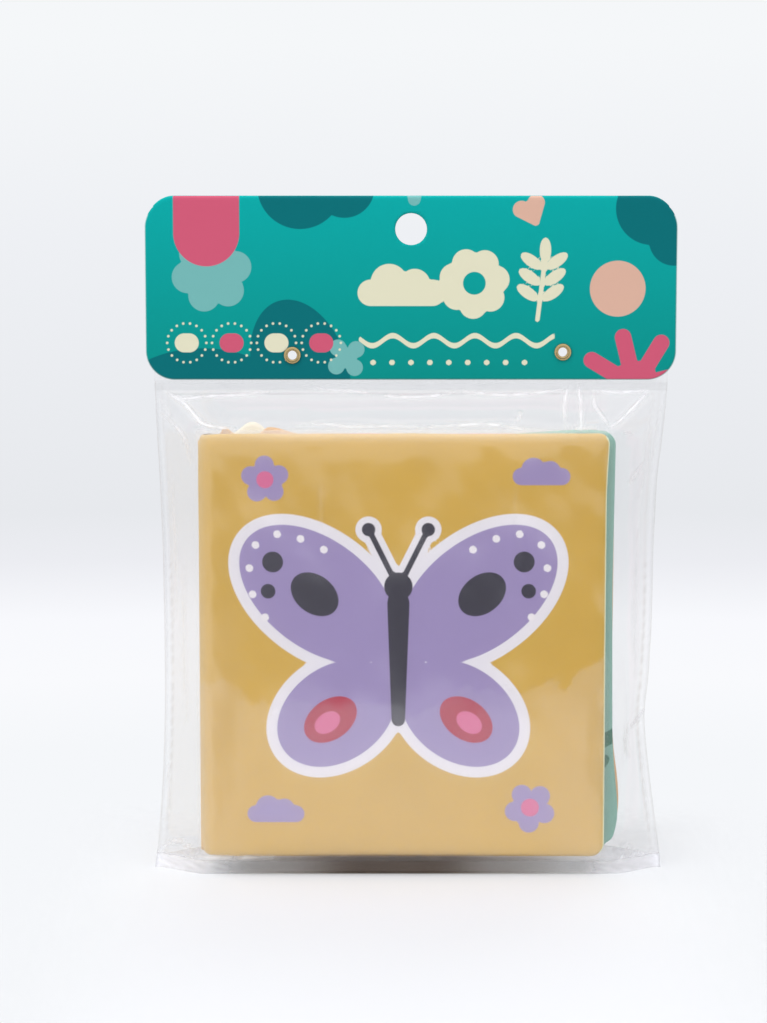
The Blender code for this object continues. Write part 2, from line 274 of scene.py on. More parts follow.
def cloud(p, q, x, z, size):
    return joined(
        bar(p, q, x - 0.75 * size, z, x + 0.75 * size, z, 0.32 * size),
        disc(p, q, x - 0.3 * size, z + 0.25 * size, 0.45 * size),
        disc(p, q, x + 0.32 * size, z + 0.2 * size, 0.38 * size),
    )


def heart(p, q, x, z, size, turn=0.0):
    angle = math.radians(turn)
    a = (p - x) * math.cos(angle) + (q - z) * math.sin(angle)
    b = (q - z) * math.cos(angle) - (p - x) * math.sin(angle)
    upper, foot = 0.46 * size, 0.2 * size
    return joined(*[bar(s, b, 0.42 * size, 0.3 * size, 0, -0.6 * size, upper, foot) for s in (a, -a)])


def rays(p, q, x, z, near, far, count, wide, turn=0.0):
    shapes = []
    for i in range(count):
        angle = math.radians(turn) + 2 * math.pi * i / count
        c, s = math.cos(angle), math.sin(angle)
        shapes.append(bar(p, q, x + near * c, z + near * s, x + far * c, z + far * s, wide))
    return joined(*shapes)


def sprig(p, q, x, z, size, lean=0.0):
    """A stem with pairs of leaves."""
    tip_x, tip_z = x + size * math.sin(lean), z + size * math.cos(lean)
    shapes = [bar(p, q, x, z, tip_x, tip_z, 0.035 * size)]
    for share in (0.35, 0.6, 0.85):
        for side in (-1, 1):
            cx = x + share * (tip_x - x) + side * 0.2 * size
            cz = z + share * (tip_z - z) + 0.08 * size
            shapes.append(oval(p, q, cx, cz, 0.2 * size, 0.09 * size, side * 35))
    shapes.append(oval(p, q, tip_x, tip_z + 0.1 * size, 0.09 * size, 0.2 * size))
    return joined(*shapes)


def butterfly(p, q, x, z, size):
    """Its wings, its body and feelers, the spots on its wings, the dots at their rim, and the drops."""
    p, q = (p - x) / size, (q - z) / size
    halves = (p, -p)
    wings = joined(
        *[oval(s, q, 26, 17, 29, 17.5, 38) for s in halves],
        *[oval(s, q, 20, -22, 21, 15.5, -36) for s in halves],
        oval(p, q, 0, 0, 9, 17),
    )
    body = joined(
        bar(p, q, 0, -24, 0, 14, 2.2, 3.6),
        disc(p, q, 0, 19.5, 4.6),
        *[bar(s, q, 1.5, 22, 9, 37, 0.9) for s in halves],
        *[disc(s, q, 9.6, 38, 2.2) for s in halves],
    )
    spots = joined(
        *[oval(s, q, 27, 17, 8.5, 6.2, 38) for s in halves],
        *[disc(s, q, 40.5, 27.5, 3.4) for s in halves],
        *[disc(s, q, 42, 18, 2.4) for s in halves],
    )
    rim = ((24, 31.5), (31.5, 35), (39, 36.5), (46, 33), (48, 25.5), (47, 17), (43, 9.5))
    dots = joined(*[disc(s, q, *place, 1.3) for s in halves for place in rim])
    drops = joined(*[oval(s, q, 22, -24, 9.5, 6.5, -36) for s in halves])
    middles = joined(*[oval(s, q, 23, -25, 4.6, 3.2, -36) for s in halves])
    return [shape * size for shape in (wings, body, spots, dots, drops, middles)]


# Materials


def linear(code):
    """An sRGB hex colour as linear values."""
    parts = [int(code[i : i + 2], 16) / 255 for i in (1, 3, 5)]
    parts = [c / 12.92 if c <= 0.04045 else ((c + 0.055) / 1.055) ** 2.4 for c in parts]
    return (*parts, 1.0)


def add(tree, kind, links=None, **settings):
    """Adds a shader node, with its settings, and a value or a link for each input that is named."""
    node = tree.nodes.new(f"ShaderNode{kind}")
    for name, value in settings.items():
        setattr(node, name, value)
    for name, value in (links or {}).items():
        if isinstance(value, bpy.types.NodeSocket):
            tree.links.new(value, node.inputs[name])
        else:
            node.inputs[name].default_value = value
    return node


def finish(name, **inputs):
    """A material, its node tree, its Principled shader with these inputs set, and the place on the piece."""
    material = bpy.data.materials.new(name)
    material.use_nodes = True
    tree = material.node_tree
    shader = tree.nodes["Principled BSDF"]
    for key, value in inputs.items():
        shader.inputs[key.replace("_", " ")].default_value = value
    return material, tree, shader, add(tree, "TexCoord").outputs["Object"]


def deeper(code, share):
    """A colour, darkened to this share of its light."""
    return tuple(c * share for c in linear(code)[:3]) + (1.0,)


def blended(tree, share, under, over):
    """The colour under, covered by the colour over as far as share says. Inputs 6 and 7 are the colours."""
    return add(tree, "Mix", {0: share, 6: under, 7: over}, data_type="RGBA").outputs[2]


def ink(tree, name, under, code, edge=0.18):
    """A printed colour, where the distance kept under this name is negative. edge is in mm."""
    distance = add(tree, "Attribute", attribute_name=name).outputs["Fac"]
    ends = {"Value": distance, "From Min": edge, "From Max": -edge}
    share = add(tree, "MapRange", ends).outputs["Result"]
    return blended(tree, share, under, linear(code))


def printed_cloth(name, code, inks=()):
    """Tight woven polyester with a soft hand: matt, a little sheen, and its print sinks into the weave.
    The real threads, about 0.25 mm apart, are drawn 0.7 mm apart, which is as fine as the picture shows."""
    material, tree, shader, place = finish(name, Roughness=0.82, Sheen_Weight=0.18, Sheen_Roughness=0.4)
    shader.inputs["Specular IOR Level"].default_value = 0.3
    patches = add(tree, "TexNoise", {"Vector": place, "Scale": 42.0, "Detail": 3.0})
    ends = {"Value": patches.outputs["Fac"], "From Min": 0.3, "From Max": 0.7}
    share = add(tree, "MapRange", ends).outputs["Result"]
    colour = blended(tree, share, deeper(code, 0.93), linear(code))
    for number, hue in enumerate(inks, 1):
        colour = ink(tree, f"ink_{number}", colour, hue)
    tree.links.new(colour, shader.inputs["Base Color"])
    threads_apart = 0.7
    waves = []
    for direction in ("weft", "warp"):
        along = add(tree, "Attribute", attribute_name=direction).outputs["Fac"]
        phase = {0: along, 1: 2 * math.pi / threads_apart}
        turn = add(tree, "Math", phase, operation="MULTIPLY").outputs[0]
        waves.append(add(tree, "Math", {0: turn}, operation="SINE").outputs[0])
    weave = add(tree, "Math", {0: waves[0], 1: waves[1]}, operation="MULTIPLY").outputs[0]
    creases = add(tree, "TexNoise", {"Vector": place, "Scale": 120.0, "Detail": 1.0})
    rough = {0: creases.outputs["Fac"], 1: 5.0, 2: weave}
    height = add(tree, "Math", rough, operation="MULTIPLY_ADD").outputs[0]
    bump = add(tree, "Bump", {"Height": height, "Strength": 0.022, "Distance": 0.02 * mm})
    tree.links.new(bump.outputs[0], shader.inputs["Normal"])
    return material


def clear_film(name):
    """Clear polyester film, glossy, heat-sealed down its sides: it shows by its reflections, some 5% from
    each face straight on, and more towards grazing angles. Light passes it on its way to what it covers.
    Along its creases, over the book and at the bag's foot it carries white painted highlight, glare and
    reflection, and low over the book's foot a brown painted shade; its heat-seal lines dull it a little."""
    material, tree, shader, place = finish(name)
    wrinkle = add(tree, "TexNoise", {"Vector": place, "Scale": 60.0, "Detail": 2.0})
    wavy = {"Height": wrinkle.outputs["Fac"], "Strength": 0.4, "Distance": 0.3 * mm}
    bump = add(tree, "Bump", wavy).outputs[0]
    # Painted shade under the book is kept with the seal lines, and painted highlight and reflection with a
    # faint haze
    seal_and_painted_shade = add(tree, "Attribute", attribute_name="seal_and_painted_shade").outputs["Fac"]
    painted_highlight_share = add(tree, "Attribute", attribute_name="haze_and_painted_highlight").outputs["Fac"]
    facing = add(tree, "LayerWeight", {"Blend": 0.5, "Normal": bump}).outputs["Facing"]
    straight_on, least_haze = 0.05, 0.008
    steep = add(tree, "Math", {0: facing, 1: 5.0}, operation="POWER").outputs[0]
    rising = {0: steep, 1: 1 - straight_on, 2: straight_on}
    share = add(tree, "Math", rising, operation="MULTIPLY_ADD").outputs[0]
    passing = add(tree, "LightPath").outputs["Is Shadow Ray"]
    less_gloss = add(tree, "Math", {0: seal_and_painted_shade, 1: 0.06, 2: passing}, operation="MULTIPLY_ADD")
    clipped = {0: share, 1: less_gloss.outputs[0]}
    share = add(tree, "Math", clipped, operation="SUBTRACT", use_clamp=True).outputs[0]
    gloss = add(tree, "BsdfAnisotropic", {"Roughness": 0.12, "Normal": bump})
    # What the seal lines and the painted shade under the book let through: all, then less, and least of the
    # blue, so the painted shade is brown
    seal_and_shade_share = add(tree, "Math", {0: seal_and_painted_shade, 1: 0.5}, operation="MULTIPLY").outputs[0]
    seal_and_shade_tint = add(tree, "ValToRGB", {0: seal_and_shade_share})
    seal_and_shade_tint.color_ramp.elements[0].color = (1, 1, 1, 1)
    seal_and_shade_tint.color_ramp.elements[1].color = (0.49, 0.436, 0.397, 1)
    seal_and_shade_tint.color_ramp.elements.new(0.5).color = (0.70, 0.66, 0.63, 1)
    sheet = add(tree, "BsdfTransparent", {"Color": seal_and_shade_tint.outputs[0]})
    # Painted highlight: a white layer, lit by the lamps, stands in for the film's glints and reflections
    white = linear("#f5f5f8")
    lit = add(tree, "BsdfDiffuse", {"Color": white})
    glowing = add(tree, "BsdfTranslucent", {"Color": white})
    haze_and_painted_highlight = add(tree, "MixShader", {0: 0.5, 1: lit.outputs[0], 2: glowing.outputs[0]})
    hazy = add(tree, "Math", {0: painted_highlight_share, 1: least_haze}, operation="ADD").outputs[0]
    lit_through = {0: hazy, 1: passing}
    cloudy = add(tree, "Math", lit_through, operation="SUBTRACT", use_clamp=True).outputs[0]
    wall = add(tree, "MixShader", {0: cloudy, 1: sheet.outputs[0], 2: haze_and_painted_highlight.outputs[0]})
    both = add(tree, "MixShader", {0: share, 1: wall.outputs[0], 2: gloss.outputs[0]})
    tree.nodes.remove(shader)
    tree.links.new(both.outputs[0], tree.nodes["Material Output"].inputs["Surface"])
    return material


def printed_card(name, inks):
    """Solid board, offset printed, with a satin varnish that gives it one soft sheen."""
    material, tree, shader, place = finish(name, Roughness=0.42)
    shader.inputs["Specular IOR Level"].default_value = 0.12
    # Painted light: the teal is darker at the card's foot and lighter at its top, as the light falls from
    # above
    height = add(tree, "SeparateXYZ", {0: place}).outputs["Z"]
    ends = {"Value": height, "From Min": card_low.z, "From Max": card_high.z}
    share = add(tree, "MapRange", ends).outputs["Result"]
    colour = blended(tree, share, linear("#008e87"), linear("#00a8a5"))
    for number, code in enumerate(inks, 1):
        colour = ink(tree, f"ink_{number}", colour, code, 0.12)
    tree.links.new(colour, shader.inputs["Base Color"])
    fibres = add(tree, "TexNoise", {"Vector": place, "Scale": 900.0, "Detail": 2.0})
    rough = {"Height": fibres.outputs["Fac"], "Strength": 0.15, "Distance": 0.02 * mm}
    bump = add(tree, "Bump", rough)
    tree.links.new(bump.outputs[0], shader.inputs["Normal"])
    return material


def plain_finish(name, code, scale, depth, **inputs):
    """One colour with a fine unevenness of this scale, in waves per metre, and this depth."""
    material, tree, shader, place = finish(name, **inputs)
    grain = add(tree, "TexNoise", {"Vector": place, "Scale": scale, "Detail": 4.0})
    colour = blended(tree, grain.outputs["Fac"], deeper(code, 0.85), linear(code))
    tree.links.new(colour, shader.inputs["Base Color"])
    rough = {"Height": grain.outputs["Fac"], "Strength": 0.4, "Distance": depth}
    bump = add(tree, "Bump", rough)
    tree.links.new(bump.outputs[0], shader.inputs["Normal"])
    return material


# Camera and stage

camera_data = bpy.data.cameras.new("camera")
camera_data.lens = 84.2
camera_data.sensor_width = 36.0
camera = bpy.data.objects.new("camera", camera_data)
bpy.context.scene.collection.objects.link(camera)
camera_tilt = math.radians(6)
camera.location = (-8.7 * mm, -760 * mm, 195.7 * mm)
camera.rotation_euler = (math.radians(90) - camera_tilt, 0, 0)
bpy.context.scene.camera = camera


def make_stage():
    """A sheet of white paper whose edges fade into the backdrop's own colour, and soft lights. The paper
    ends 0.33 m in front, so the film mirrors it only low down on the book."""
    bm = bmesh.new()
    bmesh.ops.create_grid(bm, x_segments=1, y_segments=1, size=1.0)
    bmesh.ops.translate(bm, verts=bm.verts, vec=(0, 0.2, -0.04 * mm))
    floor = show(mesh_of("floor", bm, False), [])
    material, tree, shader, place = finish("white paper sweep", Roughness=0.9)
    shader.inputs["Base Color"].default_value = linear("#dedfe2")
    shader.inputs["Specular IOR Level"].default_value = 0.1
    # The places are scattered by up to 15 mm, so that the fade is grainy and no line shows along it
    grain = add(tree, "TexWhiteNoise", {"Vector": place}).outputs["Color"]
    loose = {0: grain, 1: (0.03, 0.03, 0), 2: (-0.015, -0.015, 0)}
    loose = add(tree, "VectorMath", loose, operation="MULTIPLY_ADD").outputs[0]
    place = add(tree, "VectorMath", {0: place, 1: loose}, operation="ADD").outputs[0]
    parts = add(tree, "SeparateXYZ", {0: place})
    wide = add(tree, "Math", {0: parts.outputs["X"]}, operation="ABSOLUTE").outputs[0]
    fade = None
    y = parts.outputs["Y"]
    behind, in_front, at_the_sides = (y, 0.016, 0.09), (y, -0.31, -0.355), (wide, 0.055, 0.12)
    for way, start, end in (behind, in_front, at_the_sides):
        ends = {"Value": way, "From Min": start, "From Max": end}
        share = add(tree, "MapRange", ends, interpolation_type="SMOOTHSTEP").outputs["Result"]
        if fade is not None:
            share = add(tree, "Math", {0: share, 1: fade}, operation="MAXIMUM").outputs[0]
        fade = share
    clear = add(tree, "BsdfTransparent")
    mix = add(tree, "MixShader", {0: fade, 1: shader.outputs[0], 2: clear.outputs[0]})
    tree.links.new(mix.outputs[0], tree.nodes["Material Output"].inputs["Surface"])
    floor.data.materials.append(material)

    world = bpy.data.worlds.new("studio")
    bpy.context.scene.world = world
    world.use_nodes = True
    tree = world.node_tree
    shade = tree.nodes["Background"]
    direction = add(tree, "TexCoord").outputs["Generated"]
    parts = add(tree, "SeparateXYZ", {0: direction})
    ends = {"Value": parts.outputs["Z"], "From Min": -0.2, "From Max": 0.2}
    level = add(tree, "MapRange", ends).outputs["Result"]
    backdrop = add(tree, "ValToRGB", {0: level})
    shades = backdrop.color_ramp
    positions = (0.0, 0.07, 0.13, 0.19, 0.24, 0.52, 0.72)
    codes = ("#f5f7fa", "#f9fafd", "#f8f9fd", "#ecedf2", "#e7e9ed", "#eef0f4", "#f5f7f9")
    while len(shades.elements) < len(codes):
        shades.elements.new(0.5)
    for element, position, code in zip(shades.elements, positions, codes):
        element.position = position
        element.color = linear(code)
    path = add(tree, "LightPath")
    seen = path.outputs["Is Camera Ray"]
    for name in ("Is Glossy Ray", "Is Transmission Ray"):
        seen = add(tree, "Math", {0: seen, 1: path.outputs[name]}, operation="MAXIMUM").outputs[0]
    # What gloss mirrors: a white room, lighter overhead, with a dark place low down in front
    towards = {0: direction, 1: (0, -0.98, -0.2)}
    ahead = add(tree, "VectorMath", towards, operation="DOT_PRODUCT").outputs["Value"]
    front = {"Value": ahead, "From Min": 0.90, "From Max": 0.975}
    dark = add(tree, "MapRange", front, interpolation_type="SMOOTHSTEP").outputs["Result"]
    low = {"Value": parts.outputs["Z"], "From Min": -0.058, "From Max": -0.086}
    low = add(tree, "MapRange", low, interpolation_type="SMOOTHSTEP").outputs["Result"]
    dark = add(tree, "Math", {0: dark, 1: low}, operation="MULTIPLY").outputs[0]
    over = {"Value": parts.outputs["Z"], "From Min": 0.5, "From Max": 0.85}
    over = add(tree, "MapRange", over, interpolation_type="SMOOTHSTEP").outputs["Result"]
    walls, overhead, dark_place = (1.03, 1.04, 1.07, 1), (1.4, 1.4, 1.43, 1), (0.12, 0.125, 0.135, 1)
    room = blended(tree, over, walls, overhead)
    room = blended(tree, dark, room, dark_place)
    mirrored = blended(tree, path.outputs["Is Glossy Ray"], backdrop.outputs[0], room)
    room_light = (0.56, 0.565, 0.58, 1)
    colour = blended(tree, seen, room_light, mirrored)
    tree.links.new(colour, shade.inputs["Color"])

    lamps = (
        ("top light", (-0.3, -0.6, 2.2), 1.8, 1.8, 36.0),
        ("left light", (-1.5, -0.9, 0.6), 0.8, 1.4, 9.4),
        ("right light", (1.5, -0.9, 0.6), 0.8, 1.4, 6.0),
        ("back light", (0.3, 1.3, 2.1), 1.2, 1.2, 8.0),
    )
    for name, place, width, height, power in lamps:
        lamp = bpy.data.lights.new(name, "AREA")
        lamp.shape = "RECTANGLE"
        lamp.size, lamp.size_y = width, height
        lamp.energy = power
        holder = bpy.data.objects.new(name, lamp)
        bpy.context.scene.collection.objects.link(holder)
        holder.location = place
        aim = Vector((0, 0, 0.1)) - holder.location
        holder.rotation_euler = aim.to_track_quat("-Z", "Y").to_euler()
        holder.visible_camera = False
        holder.visible_glossy = False


# Book


def turned_edge(inset):
    """How full the cloth is beside a sewn edge, where it turns in to the seam: 0 on it, 1 inside."""
    return np.sqrt(1 - ramp(inset, 0.9 * mm, 0) ** 2)


def crown(inset):
    """How far the wadding lifts the cloth at this distance from its edge, 0 to 1."""
    i = np.maximum(inset, 0) / mm
    return 1 - 0.45 * np.exp(-i / 0.7) - 0.55 * np.exp(-i / 4.5)


def cloth_height(inset, pad, x, z, seed):
    """The cloth's outer height over the middle of its leaf, with the pucker of the seam."""
    on_seam, beside_seam, fullness, sag, deepest_pucker = 0.1, 0.46, 1.12, 0.07, 0.09
    pucker = ripples(x, z, seed, 3.0 * mm, 7.0 * mm) * np.exp(-np.maximum(inset, 0) / (1.6 * mm))
    billow = ripples(x, z, seed + 1, 18 * mm, 55 * mm)
    lift = fullness * crown(pad) * (1 - sag * (1 + billow)) + deepest_pucker * pucker
    return (on_seam + turned_edge(inset) * (beside_seam + lift)) * mm


def under_height(height, inset):
    thin = np.clip(inset / (0.8 * mm), 0.15, 1)
    return np.maximum(height - cloth_thickness * thin, 0.05 * mm)


# Each leaf's own outline, from the front cover, 1, to the back cover, 6. fore_edge: how far the free edge
# stands out at each share of the height, in mm. top_drop: how far the top edge sags, in mm. waves: where
# the top edge rises again, as place, run to the left, run to the right and height, in mm. radii: the
# lower and the upper corner, in mm. low_lift: how far the lower free corner has slipped up, in mm.
outlines = {
    1: dict(fore_edge=((0, -1.05), (0.5, -1.2), (0.87, -1.2), (1, -0.2)), top_drop=0.0, radii=(4.5, 3.6)),
    2: dict(
        fore_edge=((0, -1.4), (0.04, 0.6), (0.09, 1.6), (0.2, 0.2), (0.27, -0.6), (0.63, -1.1), (1, -0.4)),
        top_drop=1.2,
        low_lift=3.3,
        waves=((56, 32, 16, 1.6),),
        radii=(4.5, 4.0),
    ),
    3: dict(
        fore_edge=((0, -1.8), (0.04, 0.4), (0.09, 2.1), (0.17, 1.7), (0.27, -0.3), (0.5, -0.6), (1, -0.3)),
        top_drop=1.3,
        low_lift=3.1,
        waves=((-59.4, 4.2, 4.2, 2.4), (-45, 4, 11, 2.3)),
        radii=(6.5, 4.5),
    ),
    4: dict(
        fore_edge=((0, -2.0), (0.04, 0.4), (0.09, 2.4), (0.17, 2.1), (0.27, -0.3), (0.5, -0.6), (1, -0.4)),
        top_drop=1.5,
        low_lift=2.7,
        waves=((-50.5, 7.5, 7.5, 3.9),),
        radii=(6.0, 4.5),
    ),
    5: dict(
        fore_edge=((0, -1.4), (0.05, 0), (0.1, 0.6), (0.3, -0.4), (1, -0.4)),
        top_drop=1.6,
        low_lift=0.9,
        radii=(5.0, 4.5),
    ),
    6: dict(fore_edge=((0, -0.6), (0.5, -0.9), (1, -0.4)), top_drop=1.6, radii=(4.5, 4.5)),
}
cover_lift = 0.9


def sewn_outline(number, along, z, back=None):
    """Moves a flat leaf's points to the outline that it is sewn to. back, from 0 to 1, is how far round
    the spine a point of the cover cloth is, where the front cover's top edge turns into the back one's."""
    width, bottom, top = leaf_size(number)
    shape = outlines[number]
    low_radius, high_radius = (radius * mm for radius in shape["radii"])
    share_x, share_z = np.clip(along / width, 0, 1), (z - bottom) / (top - bottom)
    upper = share_z > 0.5
    radius = np.where(upper, high_radius, low_radius)
    dz = np.where(upper, z - (top - radius), (bottom + radius) - z)
    corner, far, angle = corner_arc(along - (width - radius), dz)
    along = np.where(corner, width - radius + far * np.cos(angle), along)
    round_z = np.where(upper, top - radius + far * np.sin(angle), bottom + radius - far * np.sin(angle))
    z = np.where(corner, round_z, z)
    along = along + softened_steps(share_z, shape["fore_edge"], 0.02) * mm * share_x**3
    drop = shape["top_drop"] if back is None else outlines[6]["top_drop"] * back
    rise = -drop + 0.15 * ripples(along, 0 * z, 90 + number % 5, 14 * mm, 40 * mm)
    place = (pad_left + along) / mm
    for centre, left_run, right_run, height in shape.get("waves", ()):
        run = np.where(place < centre, left_run, right_run)
        rise = rise + height * (0.5 + 0.5 * np.cos(math.pi * np.clip((place - centre) / run, -1, 1)))
    z = z + rise * mm * np.clip(share_z, 0, 1) ** 10
    low = (1 - np.clip(share_z, 0, 1)) ** 10
    if number in (1, 6):
        z = z + cover_lift * mm * low
    z = z + shape.get("low_lift", 0) * mm * low * share_x**5
    return along, z


def lay_leaf(number, along, height, z):
    """A leaf's flat points in their place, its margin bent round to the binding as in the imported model."""
    level, angle = (number - 3.5) * leaf_pitch, math.radians(30) * (number - 3.5)
    ring = round(abs(number - 3.5) + 0.5)
    out_run = (0.36, 0.45, 0.70)[ring - 1] * margin_run
    in_run = (0.27, 0.35, 0.57)[ring - 1] * margin_run
    radial = np.array([math.cos(angle), math.sin(angle)])
    start, end = margin_radius * radial, np.array([margin_run, level])
    path = (start, start + out_run * radial, end - (in_run, 0), end)
    share = np.clip(1 + along / margin_run, 0, 1)[:, None]
    back = 1 - share
    weights = (back**3, 3 * back**2 * share, 3 * back * share**2, share**3)
    place = sum(w * p for w, p in zip(weights, path))
    slopes = (back**2, 2 * back * share, share**2)
    heading = sum(s * (b - a) for s, a, b in zip(slopes, path, path[1:]))
    heading = heading / np.linalg.norm(heading, axis=1)[:, None]
    x = spine_x + place[:, 0] - height * heading[:, 1] + np.maximum(along, 0)
    return x, place[:, 1] + height * heading[:, 0], z


def leaf_size(number):
    """The padded area's width, bottom and top."""
    if number in (1, 6):
        return cover_right - pad_left, book_bottom, book_top
    return leaf_right - pad_left, leaf_low.z, leaf_top


def make_inner_cloth(name, node, number, side, body, code, inks, prints):
    """One cloth of a leaf, sewn to its neighbour round three edges. side is -1 in front, 1 behind.
    prints gives the distance outside each ink, from the middle of the page in mm."""
    width, bottom, top = leaf_size(number)
    xs = np.concatenate([steps(-margin_run, 0, 1.1 * mm)[:-1], graded(0, width, page_grid)])
    mesh = mesh_of(name, flat_slab(xs, graded(bottom, top, page_grid)))
    along, z, inner = flat_places(mesh)
    inset = np.minimum.reduce([width - along, z - bottom, top - z])
    outer = cloth_height(inset, np.minimum(inset, along), along, z, 40 + 2 * number + side)
    height = np.where(inner, under_height(outer, inset), outer)
    out, up = sewn_outline(number, along, z)
    put_points(mesh, *lay_leaf(number, out, side * height, up))
    note_inks(mesh, prints(-side * (along - width / 2) / mm, (z - (bottom + top) / 2) / mm))
    note_threads(mesh, along, z)
    cloth = printed_cloth(f"{name} woven polyester", code, inks)
    piece = dress(mesh, [cloth, cloth], body, node)


def cover_print(p, q):
    """The front cover's inks, over the whole cover: x and z of the pack in mm."""
    wings, body, spots, dots, drops, middles = butterfly(p, q, -4, 74, 0.98)
    small = joined(
        flower(p, q, -46, 127, 7.5, 5, 20),
        flower(p, q, 38, 22, 8.0, 5, 50),
        cloud(p, q, 41, 128, 8.5),
        cloud(p, q, -43, 20, 8.5),
    )
    centres = joined(disc(p, q, -46, 127, 2.7), disc(p, q, 38, 22, 2.9))
    white = joined(wings - 3.4, body - 2.0, dots)
    return [white, joined(wings, small), joined(body, spots), dots, drops, joined(middles, centres)]


def back_print(p, q):
    """The back cover's inks, in the same order, over the whole cover seen from behind, in mm."""
    petals, none = flower(p, q, 0, 74, 25, 6, 8), 60 + 0 * p
    small = joined(flower(p, q, -42, 24, 7.5), cloud(p, q, 40, 122, 8.5), cloud(p, q, -38, 118, 7.0))
    return [petals - 3.2, joined(petals, small), none, none, none, disc(p, q, 0, 74, 8.5)]


def make_cover_cloth():
    """The mustard cloth, in one piece round the front cover, the spine and the back cover."""
    width, bottom, top = leaf_size(1)
    arc_deep, full = 9.8 * mm, 1.7 * mm
    face = graded(0, width, cover_grid, soft_low=False)
    arc_length = math.pi * arc_deep
    arc = np.linspace(0, arc_length, 27)[1:-1]
    xs = np.concatenate([-face[::-1], arc, arc_length + face])
    mesh = mesh_of("cover_cloth", flat_slab(xs, graded(bottom, top, cover_grid)))
    run, z, inner = flat_places(mesh)
    along = np.where(run <= 0, -run, np.maximum(run - arc_length, 0))
    from_fore_edge = width - along
    inset = np.minimum.reduce([from_fore_edge, z - bottom, top - z])
    outer = cloth_height(inset, inset, run, z, 7)
    height = np.where(inner, under_height(outer, inset), outer)
    turn = ramp(run, 0, arc_length) * math.pi
    sides = [sewn_outline(number, along, z, turn / math.pi) for number in (1, 6)]
    along, z = (np.where(turn < math.pi, front, back) for front, back in zip(*sides))
    up = (z - bottom) / (top - bottom)
    spine_deep = arc_deep - 0.45 * mm * (1 - up) - full + height
    out, ahead = np.sin(turn) ** 0.6, np.sign(np.cos(turn)) * np.abs(np.cos(turn)) ** 0.6
    x = pad_left + along - spine_deep * out
    y = -(2.5 * leaf_pitch + height) * ahead
    soft = ramp(x, spine_x - 2.5 * mm + spine_corner, spine_x - 2.5 * mm)
    z = z - spine_corner * (1 - np.sqrt(1 - soft**2)) * np.clip(up, 0, 1) ** 20
    put_points(mesh, x, y, z)
    on_spine = 60.0 * (np.abs(y) < 4 * mm)
    prints = zip(cover_print(x / mm, z / mm), back_print(-x / mm, z / mm))
    distances = [on_spine + np.where(y > 0, behind, ahead) for ahead, behind in prints]
    note_inks(mesh, [*distances, (from_fore_edge - 0.4 * mm) / mm])
    note_threads(mesh, run, z)
    inks = ("#ece8ee", "#9f8fbd", "#33303d", "#f2edf0", "#b02040", "#dc6c98", "#e9edc0")
    cloth = printed_cloth("mustard woven polyester", "#d6ad4a", inks)
    piece = show(mesh, [cloth, cloth])
    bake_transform(piece)
    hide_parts("front_cover_outer_cloth", "back_cover_outer_cloth")


def page_sun(p, q):
    sun = joined(disc(p, q, -12, 12, 20), rays(p, q, -12, 12, 25, 33, 12, 1.8))
    return [sun, joined(cloud(p, q, 24, -14, 20), cloud(p, q, -34, -42, 12)), disc(p, q, -12, 12, 13)]


def page_leaves(p, q):
    plants = joined(sprig(p, q, -26, -44, 54, 0.12), sprig(p, q, 10, -46, 44, -0.1))
    edge = joined(bar(p, q, 56, -32, 70, -25, 2.2), sprig(p, q, 44, -62, 26, 0.3))
    return [joined(plants, edge), flower(p, q, 34, 22, 15, 6), disc(p, q, 34, 22, 5.5)]


def page_apple(p, q):
    apple = joined(oval(p, q, -9, -4, 22, 25), oval(p, q, 9, -4, 22, 25))
    stem = joined(bar(p, q, 0, 14, 4, 31, 1.6), oval(p, q, 15, 30, 11, 5, 25))
    return [apple, stem, oval(p, q, -16, 8, 3.6, 7, -25)]


def page_flower(p, q):
    return [flower(p, q, 0, 16, 28, 7), joined(disc(p, q, 0, 16, 9), sprig(p, q, 0, -58, 46))]


def page_boat(p, q):
    sea = q + 33 - 2.4 * np.sin(p * 2 * math.pi / 15)
    hull = np.maximum(disc(p, q, 0, -8, 27), q + 14)
    sail, jib = bar(p, q, 9.5, -3, 2.6, 33, 7.5, 0.8), bar(p, q, -8, -4, -2.6, 24, 5.6, 0.8)
    return [sea, hull, joined(bar(p, q, 0, -14, 0, 38, 1.2), sail, jib)]


def page_balloon(p, q):
    envelope = joined(disc(p, q, 0, 16, 28), oval(p, q, 0, -4, 15, 24))
    stripe = np.maximum(oval(p, q, 0, 12, 9.5, 34), envelope)
    ropes = joined(*[bar(p, q, side * 8, -26, side * 6, -40, 0.7) for side in (-1, 1)])
    basket = joined(bar(p, q, -5, -44, 5, -44, 5), ropes)
    return [envelope, stripe, joined(basket, cloud(p, q, -40, 40, 9), cloud(p, q, 40, -8, 10))]


def page_hearts(p, q):
    rows = [heart(p, q, x + 17 * (z % 68 == 0), z, 9, 8) for x in (-46, -12, 22) for z in (-34, 0, 34)]
    return [joined(*rows), joined(*[disc(p, q, x, z, 3) for x in (-29, 5, 39) for z in (-17, 17)])]


def page_clouds(p, q):
    clouds = joined(cloud(p, q, -16, 24, 22), cloud(p, q, 22, -6, 17), cloud(p, q, -26, -34, 14))
    rain = joined(*[bar(p, q, x, 4 - abs(x) / 6, x - 2, -2 - abs(x) / 6, 1.5) for x in range(-34, 4, 8)])
    return [clouds, rain]


def page_dots(p, q):
    many = [disc(p, q, x, z, 4.5) for x in range(-50, 60, 25) for z in range(-50, 60, 25)]
    return [joined(*many), joined(*[flower(p, q, x, 0, 9, 5) for x in (-38, 38)])]


def page_moon(p, q):
    moon = less(disc(p, q, 0, 4, 30), disc(p, q, 13, 11, 25))
    return [moon, joined(*[disc(p, q, x, z, 2.4) for x, z in ((22, 14), (34, -12), (-34, 38), (30, 40))])]


